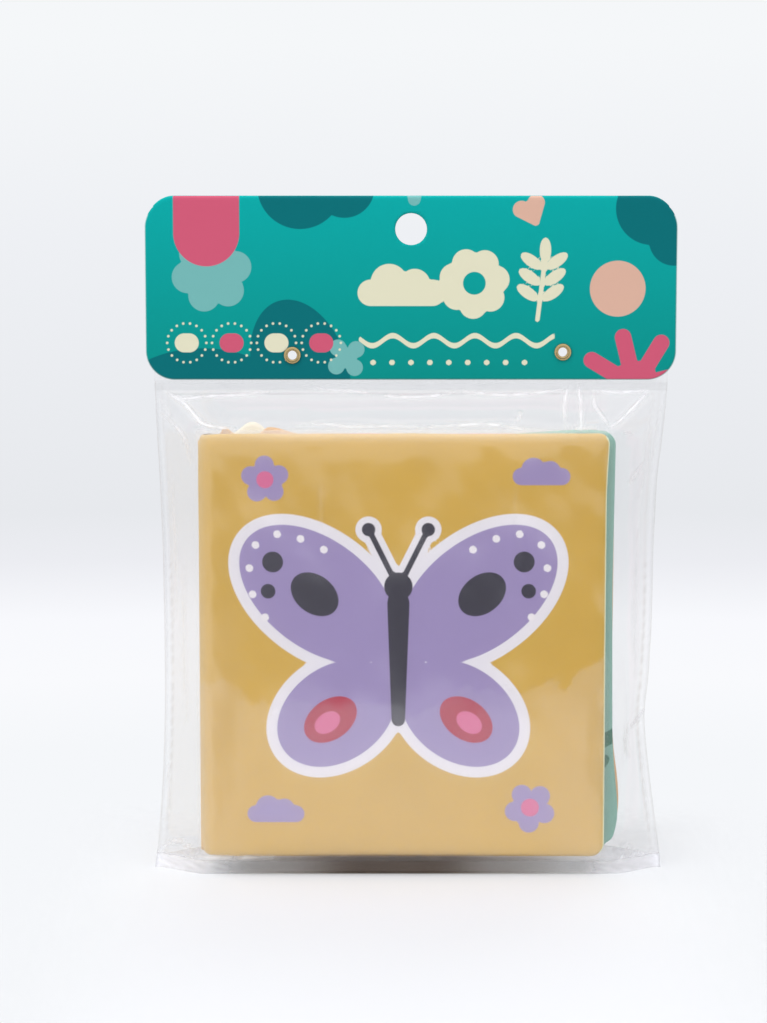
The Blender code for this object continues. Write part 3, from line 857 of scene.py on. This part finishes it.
def make_filling(node, number, body, slot, material, front, back):
    """A soft layer inside a leaf, which follows its cloths. front and back are which way each of its two
    skins faces, and how far it lies inside the fullest place that the cloths leave for it, in mm."""
    width, bottom, top = leaf_size(number)
    inset, grid = 1.7 * mm, 2.6 * mm
    xs, zs = steps(inset, width - inset, grid), steps(bottom + inset, top - inset, grid)
    mesh = mesh_of(f"{node}_soft", flat_slab(xs, zs))
    along, z, inner = flat_places(mesh)
    edge = np.minimum.reduce([along, width - along, z - bottom, top - z])
    room = 0.04 * mm + 0.9 * mm * crown(edge)
    skins = [way * np.maximum(room - under * mm, 0.02 * mm) for way, under in (front, back)]
    out, up = sewn_outline(number, along, z)
    put_points(mesh, *lay_leaf(number, out, np.where(inner, skins[1], skins[0]), up))
    dress(mesh, [material, material], body, node)


def make_fillings():
    """The wadding of each leaf, and the crinkle film between it and a cover's outer cloth."""
    wadding = plain_finish("white polyester wadding", "#eeeeea", 900.0, 0.1 * mm, Roughness=1.0)
    crinkle = plain_finish("crinkle film", "#dfe6ea", 500.0, 0.1 * mm, Roughness=0.3)
    for number in range(1, 7):
        body = {1: "front_cover", 6: "back_cover"}.get(number, f"leaf_{number}")
        front, back = (-1, 0.2 * (number == 1)), (1, 0.2 * (number == 6))
        make_filling(f"{body}_padding", number, body, "wadding", wadding, front, back)
        if number in (1, 6):
            way = -1 if number == 1 else 1
            skins = (way, 0.0), (way, 0.12)
            make_filling(f"{body}_crinkle_film", number, body, "crinkle_film", crinkle, *skins)


def make_binding():
    """The rolled tape that the margins of all leaves are stitched to."""
    radius, full_turn = (tape_high.x - tape_low.x) / 2, 2 * math.pi
    around = np.linspace(0, 3 * full_turn, 120)
    up = steps(tape_low.z, tape_high.z - spine_corner, 2 * mm)
    mesh = mesh_of("binding_roll", flat_slab(around, up))
    turn, z, inner = flat_places(mesh)
    far = radius - 0.42 * mm * turn / full_turn - np.where(inner, cloth_thickness, 0)
    put_points(mesh, spine_x + far * np.cos(turn), far * np.sin(turn), z)
    note_threads(mesh, turn * radius, z)
    tape = printed_cloth("cotton binding tape", "#d9a94c")
    dress(mesh, [tape, tape], "back_cover", "binding_tape")


def make_leaves():
    """The ten inner cloths, in the order of the pages."""
    mustard, lilac, plum, white = "#e0a93f", "#a894c8", "#3a3442", "#f4f1ea"
    crimson, pink, teal, green = "#c23a50", "#e58aa6", "#3f9c93", "#2f6b55"
    pages = (
        ("front_cover_inner", 1, 1, "cream_cloth", "#f1ead8", (mustard, "#9fcfc6", "#eec46b"), page_sun),
        ("leaf_2_front", 2, -1, "teal_cloth", "#86b3a5", (green, white, mustard), page_leaves),
        ("leaf_2_back", 2, 1, "tan_cloth", "#dcb285", (crimson, green, white), page_apple),
        ("leaf_3_front", 3, -1, "tan_cloth", "#dcb285", (lilac, plum), page_flower),
        ("leaf_3_back", 3, 1, "cream_cloth", "#f1ead8", (teal, crimson, mustard), page_boat),
        ("leaf_4_front", 4, -1, "cream_cloth", "#f1ead8", (lilac, pink, teal), page_balloon),
        ("leaf_4_back", 4, 1, "pink_cloth", "#efb9c2", (crimson, white), page_hearts),
        ("leaf_5_front", 5, -1, "pink_cloth", "#efb9c2", (white, teal), page_clouds),
        ("leaf_5_back", 5, 1, "teal_cloth", "#86b3a5", (white, lilac), page_dots),
        ("back_cover_inner", 6, -1, "cream_cloth", "#f1ead8", (mustard, lilac), page_moon),
    )
    for name, number, side, slot, code, inks, prints in pages:
        body = {1: "front_cover", 6: "back_cover"}.get(number, f"leaf_{number}")
        make_inner_cloth(name, f"{name}_cloth", number, side, body, code, inks, prints)


# Header


def ring_of_dots(p, q, x, z, radius, count, dot):
    """Dots round a circle: every place is turned to the dot nearest to it."""
    far, turn = np.hypot(p - x, q - z), np.arctan2(q - z, p - x)
    part = 2 * math.pi / count
    turn = turn - part * np.round(turn / part)
    return np.hypot(far * np.cos(turn) - radius, far * np.sin(turn)) - dot


def header_print(p, q, fine=True):
    """A flap's inks: x of the pack, and z above the flap's foot, in mm. The back has no fine print."""
    high = (card_high.z - card_low.z) / mm
    dark = joined(
        disc(p, q, -35, high + 3, 13.5),
        disc(p, q, -21, high + 2.5, 9.5),
        oval(p, q, -66, -10, 30, 20),
        oval(p, q, -35, 3, 15, 23, 18),
        disc(p, q, 76, high - 4, 11.5),
        disc(p, q, 83, high - 14, 8.0),
    )
    pale = joined(
        flower(p, q, -63, 34, 12.5, 6, 12),
        flower(p, q, -20.5, 7.0, 6.6, 4, 40),
        bar(p, q, 1.0, high - 1.2, 1.0, high + 3, 2.0, 3.0),
    )
    places = (-71, -56.8, -42.6, -28.4)
    pills = [bar(p, q, x - 0.8, 11.7, x + 0.8, 11.7, 3.0) for x in places]
    rings = joined(*[ring_of_dots(p, q, x, 11.7, 6.2, 18, 0.42) for x in places])
    tab = bar(p, q, -64.6, high + 8, -64.6, high - 11.8, 10.4)
    coral = joined(rays(p, q, 71, -2, 6, 16, 8, 2.6, 14), disc(p, q, 71, -2, 8), tab, pills[1], pills[3])
    peach = joined(disc(p, q, 65.3, 28.8, 8.8), heart(p, q, 37.8, high - 5.0, 6.0, 24))
    swell = 1.6 * np.sin((p - 4) * 2 * math.pi / 13)
    wave = np.maximum(np.abs(q - 12.4 - swell) - 0.85, np.abs(p - 14.5) - 31)
    cream = joined(
        cloud(p, q, -3, 27.5, 13.0),
        less(flower(p, q, 20, 30.5, 11.0, 7, 10), disc(p, q, 20, 30.5, 3.6)),
        sprig(p, q, 40, 19, 20, 0.12),
        wave,
        pills[0],
        pills[2],
    )
    if fine:
        dots = joined(*[disc(p, q, x, 5.5, 0.9) for x in range(-12, 42, 6)])
        cream = joined(cream, rings, dots)
    return [dark, pale, coral, peach, cream]


def cut_holes(bm, holes):
    """Cuts round holes through a flat slab, each given by its place on the sheet and its radius."""
    for x, s, radius in holes:
        centre = Vector((x, s))
        gone = [f for f in bm.faces if (f.calc_center_median().xy - centre).length < radius]
        gone = [f for f in gone if abs(f.normal.z) > 0.5]
        bmesh.ops.delete(bm, geom=gone, context="FACES")
        edge = [e for e in bm.edges if e.is_boundary]
        for vert in {v for e in edge for v in e.verts}:
            arm = vert.co.xy - centre
            vert.co.xy = centre + arm * (radius / arm.length)
        for face in bmesh.ops.bridge_loops(bm, edges=edge)["faces"]:
            face.material_index = 1


def eyelet_places():
    boxes = [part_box(node) for node in ("eyelet_left", "eyelet_right")]
    return [((low.x + high.x) / 2, (low.z + high.z) / 2) for low, high in boxes]


def make_header():
    """The folded card: one sheet up the front flap, over the fold and down the back flap."""
    half_width, half_deep, ply = card_high.x, card_high.y, 0.4 * mm
    height = card_high.z - card_low.z
    straight, fold = height - half_deep, math.pi * half_deep
    # The grid is finer where the small dots are printed
    fine, coarse = 0.35 * mm, 0.8 * mm
    low_z, high_z, low_x, high_x = 4.4 * mm, 19 * mm, -78.6 * mm, -20.8 * mm
    rows = (steps(0, low_z, coarse), steps(low_z, high_z, fine), steps(high_z, straight, coarse))
    bend = np.linspace(straight, straight + fold, 7)[1:-1]
    back_flap = straight + fold + steps(0, straight, 1.2 * mm)
    zs = np.concatenate([rows[0][:-1], rows[1][:-1], rows[2], bend, back_flap])
    left, right = steps(-half_width, low_x, coarse), steps(high_x, half_width, coarse)
    xs = np.concatenate([left[:-1], steps(low_x, high_x, fine)[:-1], right])
    bm = flat_slab(xs, zs)
    total = 2 * straight + fold
    hang_hole = (0.0, height - 10.5 * mm, 5.0 * mm)
    eyelet_holes = [(x, z - card_low.z, barrel_radius + 0.25 * mm) for x, z in eyelet_places()]
    holes = [hang_hole, *eyelet_holes]
    cut_holes(bm, holes + [(x, total - s, radius) for x, s, radius in holes])
    for face in bm.faces:
        if face.calc_center_median().z < -0.9:
            face.material_index = 1
    mesh = mesh_of("header_card_printed", bm)
    x, s, inner = flat_places(mesh)
    angle = np.clip((s - straight) / fold, 0, 1) * math.pi
    rise = np.where(s < straight, s, np.where(s > straight + fold, total - s, straight))
    corner = 9.2 * mm
    low_corner = rise < height / 2
    top_line = straight - corner
    dz = np.where(low_corner, corner - rise, rise - top_line)
    near, far, bearing = corner_arc(np.abs(x) - (half_width - corner), dz)
    # The pale line of the board's cut edge, which ends where the corners turn into the fold
    cut_edge = np.where(near, corner - far, np.minimum(half_width - np.abs(x), rise))
    cut_edge = cut_edge + near * ~low_corner * 2.0 * mm * ramp(bearing, 0.45, 0.75)
    cut_edge = np.where(np.abs(np.cos(angle)) < 0.999, 9.0 * mm, cut_edge)
    x = np.where(near, np.sign(x) * (half_width - corner + far * np.cos(bearing)), x)
    upright = np.where(low_corner, corner - far * np.sin(bearing), top_line + far * np.sin(bearing))
    rise = np.where(near, upright, rise)
    deep = np.where(inner, half_deep - ply, half_deep)
    y = -deep * np.cos(angle)
    z = card_low.z + rise + deep * np.sin(angle) * np.where(near, np.sin(bearing) ** 2, 1)
    put_points(mesh, x, y, z)
    q = (z - card_low.z) / mm
    flaps = zip(header_print(x / mm, q), header_print(-x / mm, q, fine=False))
    inks = [np.where(y > 0, behind, ahead) for ahead, behind in flaps]
    note_inks(mesh, [*inks, cut_edge / mm - 0.22])
    codes = ("#006d73", "#74b6b3", "#cf5a76", "#dbb19d", "#e2dfc3", "#b9d9d6")
    printed = printed_card("varnished printed board", codes)
    raw = plain_finish("white board edge", "#f3f2ee", 700.0, 0.02 * mm, Roughness=0.8)
    dress(mesh, [printed, raw], "header", "header_card")


def make_eyelets():
    """Rolled brass eyelets, turned from one closed section."""
    brass = plain_finish("lacquered brass", "#bfa878", 400.0, 0.01 * mm, Roughness=0.27, Metallic=1.0)
    low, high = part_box("eyelet_left")
    flange, deep = (high.x - low.x) / 2, high.y
    for side, (x, z) in zip(("left", "right"), eyelet_places()):
        bore, barrel, seat = 1.45 * mm, barrel_radius, deep - 0.35 * mm
        roll = [
            (bore, 0.0),
            (bore, 0.82 * deep),
            (bore + 0.12 * mm, 0.94 * deep),
            (bore + 0.38 * mm, deep),
            (flange - 0.5 * mm, 0.97 * deep),
            (flange - 0.15 * mm, 0.9 * deep),
            (flange, seat + 0.1 * mm),
            (flange - 0.06 * mm, seat),
            (barrel, seat),
            (barrel, 0.0),
        ]
        section = roll + [(r, -y) for r, y in reversed(roll[1:-1])]
        bm = bmesh.new()
        verts = [bm.verts.new((x + r, y, z)) for r, y in section]
        edges = [bm.edges.new((v, verts[i - 1])) for i, v in enumerate(verts)]
        turn = dict(cent=(x, 0, z), axis=(0, 1, 0), angle=2 * math.pi, steps=48, use_merge=True)
        bmesh.ops.spin(bm, geom=verts + edges, **turn)
        bmesh.ops.recalc_face_normals(bm, faces=bm.faces)
        node = f"eyelet_{side}"
        dress(mesh_of(f"{node}_brass", bm), [brass], "header", node)


# Bag


def bag_edges(z):
    """Where the bag's left and right edges stand at this height. The seals draw in at mid height, and
    the right one has a kink low down. The lists are in mm."""
    heights = (0, 8, 20, 32, 44, 52, 60, 80, 105, 128, 142, 157)
    left = (83.0, 81.6, 80.6, 79.8, 79.3, 79.1, 79.0, 79.0, 79.3, 80.1, 80.9, 81.4)
    right = (81.3, 80.3, 78.6, 77.0, 75.6, 75.2, 76.4, 77.4, 77.6, 78.6, 80.4, 81.6)
    out = [softened_steps(z / mm, tuple(zip(heights, widths)), 2) * mm for widths in (left, right)]
    return -out[0], out[1]


def film_across(x, left, right):
    """The bag's depth at this place across it, as a share of its full depth."""
    knots = (
        (spine_x - 1.3 * mm, 0.85),
        (spine_x + 1.2 * mm, 0.96),
        (spine_x + 4.5 * mm, 0.99),
        (spine_x + 9.0 * mm, 1.0),
        (cover_right - 5.0 * mm, 1.0),
        (cover_right - 0.5 * mm, 0.98),
        (leaf_right + 1.8 * mm, 0.78),
    )
    across = np.interp(x, [k for k, _ in knots], [share for _, share in knots])
    seal, first, last = 2.2 * mm, knots[0], knots[-1]
    left_share = ramp(x, left + seal, first[0]) * first[1]
    right_share = ramp(x, right - seal, last[0]) * last[1]
    return np.where(x < first[0], left_share, np.where(x > last[0], right_share, across))


def film_depth(x, z):
    """How far the film stands from the bag's middle plane, as it is stretched round the book."""
    left, right = bag_edges(z)
    across = blurred(lambda place: film_across(place, left, right), x, 0.75 * mm)
    head = film_shut - book_top
    knots = (
        (0, 0.76),
        (4.9 * mm, 0.95),
        (8.5 * mm, 1.0),
        (book_top - 7 * mm, 1.0),
        (book_top - 1.0 * mm, 0.975),
        (book_top + 1.2 * mm, 0.89),
        (book_top + 0.38 * head, 0.61),
        (book_top + 0.72 * head, 0.27),
        (film_shut, 0.0),
    )
    up = softened_steps(z, knots, 0.9 * mm) * ramp(z, film_shut + 0.3 * mm, film_shut - 1.3 * mm)
    return half_gap + film_deep * np.minimum(across, up)


def foot_line(x):
    """Where the bag's walls meet its foot: it waves along the book's lower edge."""
    return fold_high.z + (0.12 * ripples(x, 0 * x, 61, 12 * mm, 36 * mm) - 0.15) * mm


def under_book(x):
    """1 under the middle of the book, where no light gets in, and 0 towards the bag's corners."""
    knots = ((0, 1.0), (15 * mm, 1.0), (28 * mm, 0.5), (44 * mm, 0.28), (58 * mm, 0.0))
    return softened_steps(np.abs(x + 5 * mm), knots, 2 * mm)


def rounded_path(points):
    """A path in mm with its corners cut twice."""
    path = [Vector(point) for point in points]
    for _ in range(2):
        cut = [path[0]]
        for a, b in zip(path, path[1:]):
            cut += [a.lerp(b, 0.25), a.lerp(b, 0.75)]
        path = cut + [path[-1]]
    return path


def near_path(x, z, points):
    """Each place's distance from a path in mm, and how far along it is, from 0 to 1."""
    path = rounded_path(points)
    lengths = [(b - a).length for a, b in zip(path, path[1:])]
    away, share, done = np.full_like(x, 1e3), np.zeros_like(x), 0.0
    for a, b, length in zip(path, path[1:], lengths):
        dx, dz = (b - a) / length**2
        t = np.clip((x / mm - a.x) * dx + (z / mm - a.y) * dz, 0, 1)
        distance = np.hypot(x / mm - a.x - t * (b.x - a.x), z / mm - a.y - t * (b.y - a.y))
        closer = distance < away
        away = np.where(closer, distance, away)
        share = np.where(closer, (done + t * length) / sum(lengths), share)
        done += length
    return away, share


# Creases of the front wall: how bright the painted glint along it is, how high and how wide each is, and its
# path, in mm
front_creases = (
    (0.72, 0.25, 0.5, ((-77.7, 154.2), (-72, 151.8), (-66, 152.8), (-54, 153.1), (-44, 154.4))),
    (0.58, 0.20, 0.5, ((-34, 155.8), (-25, 154.6), (-16, 154.2), (-12, 153.2))),
    (0.80, 0.25, 0.5, ((-9, 152.9), (1, 152.4), (9, 153.0), (14, 154.2))),
    (0.72, 0.25, 0.5, ((16, 154.3), (29, 153.0), (39, 153.6), (50, 155.0))),
    (0.65, 0.25, 0.5, ((57, 155.0), (64.5, 153.7), (76, 154.6))),
    (0.72, 0.20, 0.5, ((-37, 143.8), (-26.5, 144.6), (-20, 143.3), (-6, 144.0), (4, 143.4))),
    (0.80, 0.20, 0.5, ((4, 143.4), (14, 144.0), (24, 144.7), (33, 143.1), (41, 142.5))),
    (1.00, 0.45, 0.6, ((-77, 153.6), (-72, 151.2), (-68.2, 147), (-66, 144.5), (-61, 143.3), (-55, 143.1))),
    (0.51, 0.50, 0.9, ((-80, 147.6), (-74.5, 143.8), (-70.7, 139), (-69.5, 132))),
    (0.87, 0.40, 0.5, ((50, 156.2), (48, 149), (48.8, 142.5))),
    (1.00, 0.50, 0.5, ((53.2, 156.6), (53.8, 149), (53.2, 142))),
    (0.72, 0.35, 0.5, ((58.3, 154.4), (57.6, 150), (60.2, 147), (62, 143.8))),
    (0.94, 0.40, 0.5, ((75.4, 154.4), (69.6, 148.8), (64.6, 144.5), (61.5, 143.2))),
    (0.30, 0.50, 0.9, ((79.5, 150), (77.5, 140), (76.5, 128))),
    (0.25, 0.40, 0.9, ((77, 153), (75.3, 143), (74.5, 130), (72, 120))),
    (0.72, 0.55, 1.0, ((73.5, 131.5), (70.6, 127.8), (68.8, 125.5))),
    (0.20, 0.40, 1.2, ((-76.5, 130), (-75, 108), (-75.6, 80))),
    (0.20, 0.35, 1.2, ((-72, 100), (-72.6, 70), (-71.6, 48))),
    (0.20, 0.40, 1.2, ((72, 112), (71, 85), (72, 62))),
    (0.65, 0.50, 0.7, ((75, 51.5), (71.8, 47.5), (69.6, 46.4))),
    (0.58, 0.50, 0.8, ((69.4, 49), (68.4, 43), (69.6, 36))),
    (0.25, 0.40, 0.9, ((73.5, 44), (75.4, 26), (77.6, 9))),
    (0.72, 0.60, 0.8, ((-81.5, 4.5), (-76, 10.5), (-71.5, 8.5), (-68.5, 6.5))),
    (0.30, 0.45, 0.9, ((-79.5, 13.5), (-77.5, 22), (-78.5, 34))),
    (0.75, 0.25, 0.7, ((-77, 1.5), (-70, 5.6), (-63, 6.1), (-57, 5.4), (-50, 6.0), (-43, 5.8))),
    (0.87, 0.60, 0.9, ((66, 3.6), (69, 7.2), (73, 5.5), (79.5, 1.2))),
    (0.51, 0.40, 0.7, ((64.5, 8.4), (68.6, 9.8), (71, 7.4))),
    (0.45, 0.50, 1.6, ((32.5, 144.8), (34.2, 146.4), (34.8, 148.6))),
    (0.55, 0.50, 1.8, ((51.0, 143.2), (54.5, 143.0), (58.5, 143.6))),
    (0.40, 0.40, 1.5, ((-80, 151.5), (-77.6, 149.2), (-76.4, 146.0))),
    (0.40, 0.40, 1.2, ((66, 141.5), (68.2, 141.9), (70, 141.2))),
    (0.10, 0.12, 1.4, ((-52, 118), (-50.8, 108), (-51.4, 98))),
    (0.08, 0.10, 1.6, ((-30, 134), (-28, 120), (-29, 104))),
    (0.10, 0.10, 1.5, ((-56, 40), (-55, 30), (-55.6, 18))),
    (0.07, 0.10, 2.0, ((32, 128), (33.5, 112), (32.5, 92))),
)
back_creases = [(0.0, 0.6 * high, wide, [(-x, z) for x, z in path]) for _, high, wide, path in front_creases]


def creases_and_glints(x, z, creases, seed):
    """How high the creases stand, in metres, and the white painted glint along each, which stands in for its
    reflections.
    """
    height, haze_and_painted_highlight = np.zeros_like(x), np.zeros_like(x)
    patchy = np.clip(0.75 + 0.45 * ripples(x, z, seed, 3 * mm, 9 * mm), 0.3, 1.2)
    for level, high, wide, path in creases:
        away, share = near_path(x, z, path)
        fade = np.sqrt(np.maximum(4 * share * (1 - share), 0))
        height += high * mm * hump(away, 0, wide) * fade
        core, glow = hump(away, 0, 0.2 + 0.28 * wide), hump(away, 0, 1.3)
        haze_and_painted_highlight = np.maximum(haze_and_painted_highlight, level * (0.78 * core * patchy + 0.14 * glow) * fade)
    return height, haze_and_painted_highlight


def painted_reflection_over_book(x, z):
    """Painted reflection and highlight on the front wall over the book, as a share of white: a faint haze,
    more to the left; a veil of painted reflection of the floor low on the cover, below a wavy edge, more to
    the right, at the left and in the middle low down; and painted highlight bands along the cover's top edge
    and down its spine. Above the book only the faint haze."""
    reflection_edge = 57 + 10 * ripples(x, 0 * x, 71, 18 * mm, 60 * mm) + 2.5 * ripples(x, 0 * x, 72, 5 * mm, 11 * mm)
    reflection_edge = (reflection_edge + 10 * ramp(x, 25 * mm, 55 * mm)) * mm
    below_reflection_edge = ramp(z, reflection_edge + 0.8 * mm, reflection_edge - 0.8 * mm)
    haze = 0.012 + 0.02 * ramp(x, 0, -60 * mm) + 0.065 * below_reflection_edge
    haze += 0.045 * below_reflection_edge * ramp(x, 38 * mm, 50 * mm)
    haze += 0.03 * ramp(x, -50 * mm, -58 * mm) * ramp(z, 92 * mm, 78 * mm)
    haze += 0.03 * hump(x, 0, 34 * mm) * ramp(z, 45 * mm, 25 * mm)
    # Painted highlight bands along the cover's top edge and down its spine
    haze += 0.03 * hump(z, book_top - 2.5 * mm, 6.5 * mm)
    haze += 0.05 * hump(x, spine_x - 0.8 * mm, 1.7 * mm)
    middle = ramp(np.abs(x), 54 * mm, 40 * mm)
    haze += (0.12 + 0.08 * middle) * hump(z, book_top + 0.2 * mm, 2.0 * mm)
    left_end, right_end = spine_x - 2.8 * mm, cover_right
    over_book = ramp(x, left_end, left_end + 1 * mm) * ramp(x, right_end, right_end - 3 * mm)
    return haze * over_book * (z < book_top + 1.3 * mm) + 0.012 * (z > book_top)


def make_film_wall(name, node, side, creases, seed):
    """One wall of the bag, with the creases that the book's corners and the rivets pull into it."""
    half, plain = 81.5 * mm, 60 * mm
    near = [steps(low, high, 0.85 * mm) for low, high in ((-half, -plain), (plain, half))]
    xs = np.concatenate([near[0][:-1], steps(-plain, plain, 1.5 * mm)[:-1], near[1]]) / half
    foot, head = wall_low.z - 0.2 * mm, book_top - 1.5 * mm
    low_rows, high_rows = steps(foot, head, 1.25 * mm), steps(head, film_top, 0.95 * mm)
    bm = flat_slab(xs, np.concatenate([low_rows[:-1], high_rows]))
    upper = [e for e in bm.edges if all(v.co.y > head - 0.1 * mm for v in e.verts)]
    fine = [e for e in upper if e.calc_length() < 0.5]
    bmesh.ops.subdivide_edges(bm, edges=fine, cuts=2, use_grid_fill=True)
    mesh = mesh_of(name, bm)
    span, z, inner = flat_places(mesh)
    left, right = bag_edges(z)
    x = (left + right) / 2 + span * (right - left) / 2
    z = z + (foot_line(x) - fold_high.z) * ramp(z, foot + 6 * mm, foot)
    from_seal = np.minimum(x - left, right - x)
    free = ramp(from_seal, 1.5 * mm, 6.5 * mm) * ramp(z, film_shut + 0.6 * mm, film_shut - 1.9 * mm)
    inside = np.minimum.reduce([x - spine_x - 3 * mm, cover_right - 1 * mm - x, book_top - 2 * mm - z])
    on_book = ramp(inside, 0, 6 * mm)
    relief, haze_and_painted_highlight = creases_and_glints(x, z, creases, seed + 7)
    relief += (0.30 - 0.24 * on_book) * mm * (1 + ripples(x, z, seed, 9 * mm, 34 * mm))
    relief += on_book * 0.22 * mm * (1 + ripples(x * 1.6, z, seed + 5, 26 * mm, 60 * mm))
    relief += on_book * 0.07 * mm * np.abs(ripples(x * 1.5, z, seed + 6, 15 * mm, 30 * mm))
    relief += on_book * 0.35 * mm * hump(z, 60 * mm, 34 * mm)
    y = film_depth(x, z) + free * relief + np.where(inner, 0, film_thickness)
    put_points(mesh, x, side * y, z)
    # Painted glare at the wall's two low corners, and painted reflection and highlight over the book, on the
    # front wall only
    painted_glare_low_ends = 0.3 * ramp(np.abs(x), 54 * mm, 66 * mm) * ramp(z, 7.5 * mm, 4.5 * mm)
    front_painted_light = np.maximum(painted_reflection_over_book(x, z), painted_glare_low_ends) * (side < 0)
    note(mesh, "haze_and_painted_highlight", np.maximum(haze_and_painted_highlight, front_painted_light))
    dash, pitch, dashed_up_to = 2.3, 3.9, 100 * mm
    low_dashes = (np.mod(z / mm, pitch) < dash) & (z < dashed_up_to)
    line = hump(from_seal, 2.3 * mm, 0.3 * mm) * (0.25 + 0.75 * low_dashes)
    edge = hump(from_seal, 0, 0.35 * mm)
    # Painted shade: low down, over the gap under the book, the film is tinted dark brown, most under the
    # book's middle
    dip = 0.35 * mm * ripples(x, 0 * x, 62, 10 * mm, 30 * mm)
    painted_shade_under_book = 1.7 * under_book(x) * ramp(z, 6.5 * mm + dip, 6.0 * mm + dip)
    note(mesh, "seal_and_painted_shade", np.maximum.reduce([0.14 * line, 0.08 * edge, painted_shade_under_book]))
    piece = dress(mesh, [film, film], "bag", node)
    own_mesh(piece)


def make_film_foot():
    """The folded foot of the bag, which the pack stands on."""
    mesh = mesh_of("film_foot", flat_slab(np.linspace(-1, 1, 120), np.linspace(-1, 1, 45)))
    span, way, inner = flat_places(mesh)
    half, flat_share = np.abs(way), 0.55
    under = half < flat_share
    share = ramp(half, flat_share, 1) ** 1.3
    left, right = bag_edges(share * fold_high.z)
    x = (left + right) / 2 + span * (right - left) / 2
    z = share * foot_line(x)
    y = film_depth(x, z) * ramp(half, 0, flat_share)
    wall = np.where(inner, film_thickness, 0)
    z = z + np.where(under, wall, wall * 0.5)
    y = np.where(under, y, np.maximum(y - wall, 0.03 * mm))
    put_points(mesh, x, np.sign(way) * y, z)
    # Painted glare: patchy white on the foot's two ends, and a fainter painted highlight along the fold on
    # each side
    ends = ramp(np.abs(x), 52 * mm, 66 * mm) * (half > 0.5)
    patchy_glare = 0.5 + 0.5 * ripples(x + 2 * z, 2 * z, 65, 3 * mm, 11 * mm)
    fold = 0.3 * hump(half, 0.56, 0.02)
    note(mesh, "haze_and_painted_highlight", np.maximum(fold, ends * (0.4 + 0.35 * patchy_glare)))
    # Painted shade under the book, where the foot rises to the walls
    note(mesh, "seal_and_painted_shade", under_book(x) * ramp(half, 0.3, 0.5))
    dress(mesh, [film, film], "bag", "bag_bottom_fold")


def make_flat_film(name, node, body, grid, half_thickness, holes=()):
    """A flat stretch of the bag's film in its node's place: the neck that the header hangs from, or the
    tongue between the header's flaps, which the eyelets go through."""
    low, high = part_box(node)
    bm = flat_slab(steps(low.x, high.x, grid[0]), steps(low.z, high.z, grid[1]))
    cut_holes(bm, holes)
    mesh = mesh_of(name, bm)
    x, z, inner = flat_places(mesh)
    put_points(mesh, x, np.where(inner, half_thickness, -half_thickness), z)
    for kind in ("haze_and_painted_highlight", "seal_and_painted_shade"):
        note(mesh, kind, 0 * x)
    dress(mesh, [film, film], body, node)


make_stage()
film = clear_film("clear polyester film")
make_header()
make_eyelets()
make_cover_cloth()
make_leaves()
make_fillings()
make_binding()
make_film_wall("film_front", "bag_front_film", -1, front_creases, 21)
make_film_wall("film_back", "bag_back_film", 1, back_creases, 33)
make_film_foot()
make_flat_film("film_neck", "bag_neck_film", "neck", (1.5 * mm, 0.4 * mm), 0.08 * mm)
eyelet_holes = [(x, z, barrel_radius + 0.1 * mm) for x, z in eyelet_places()]
make_flat_film("film_tab", "bag_tab_film", "header", (1.2 * mm, 1.2 * mm), 0.06 * mm, eyelet_holes)
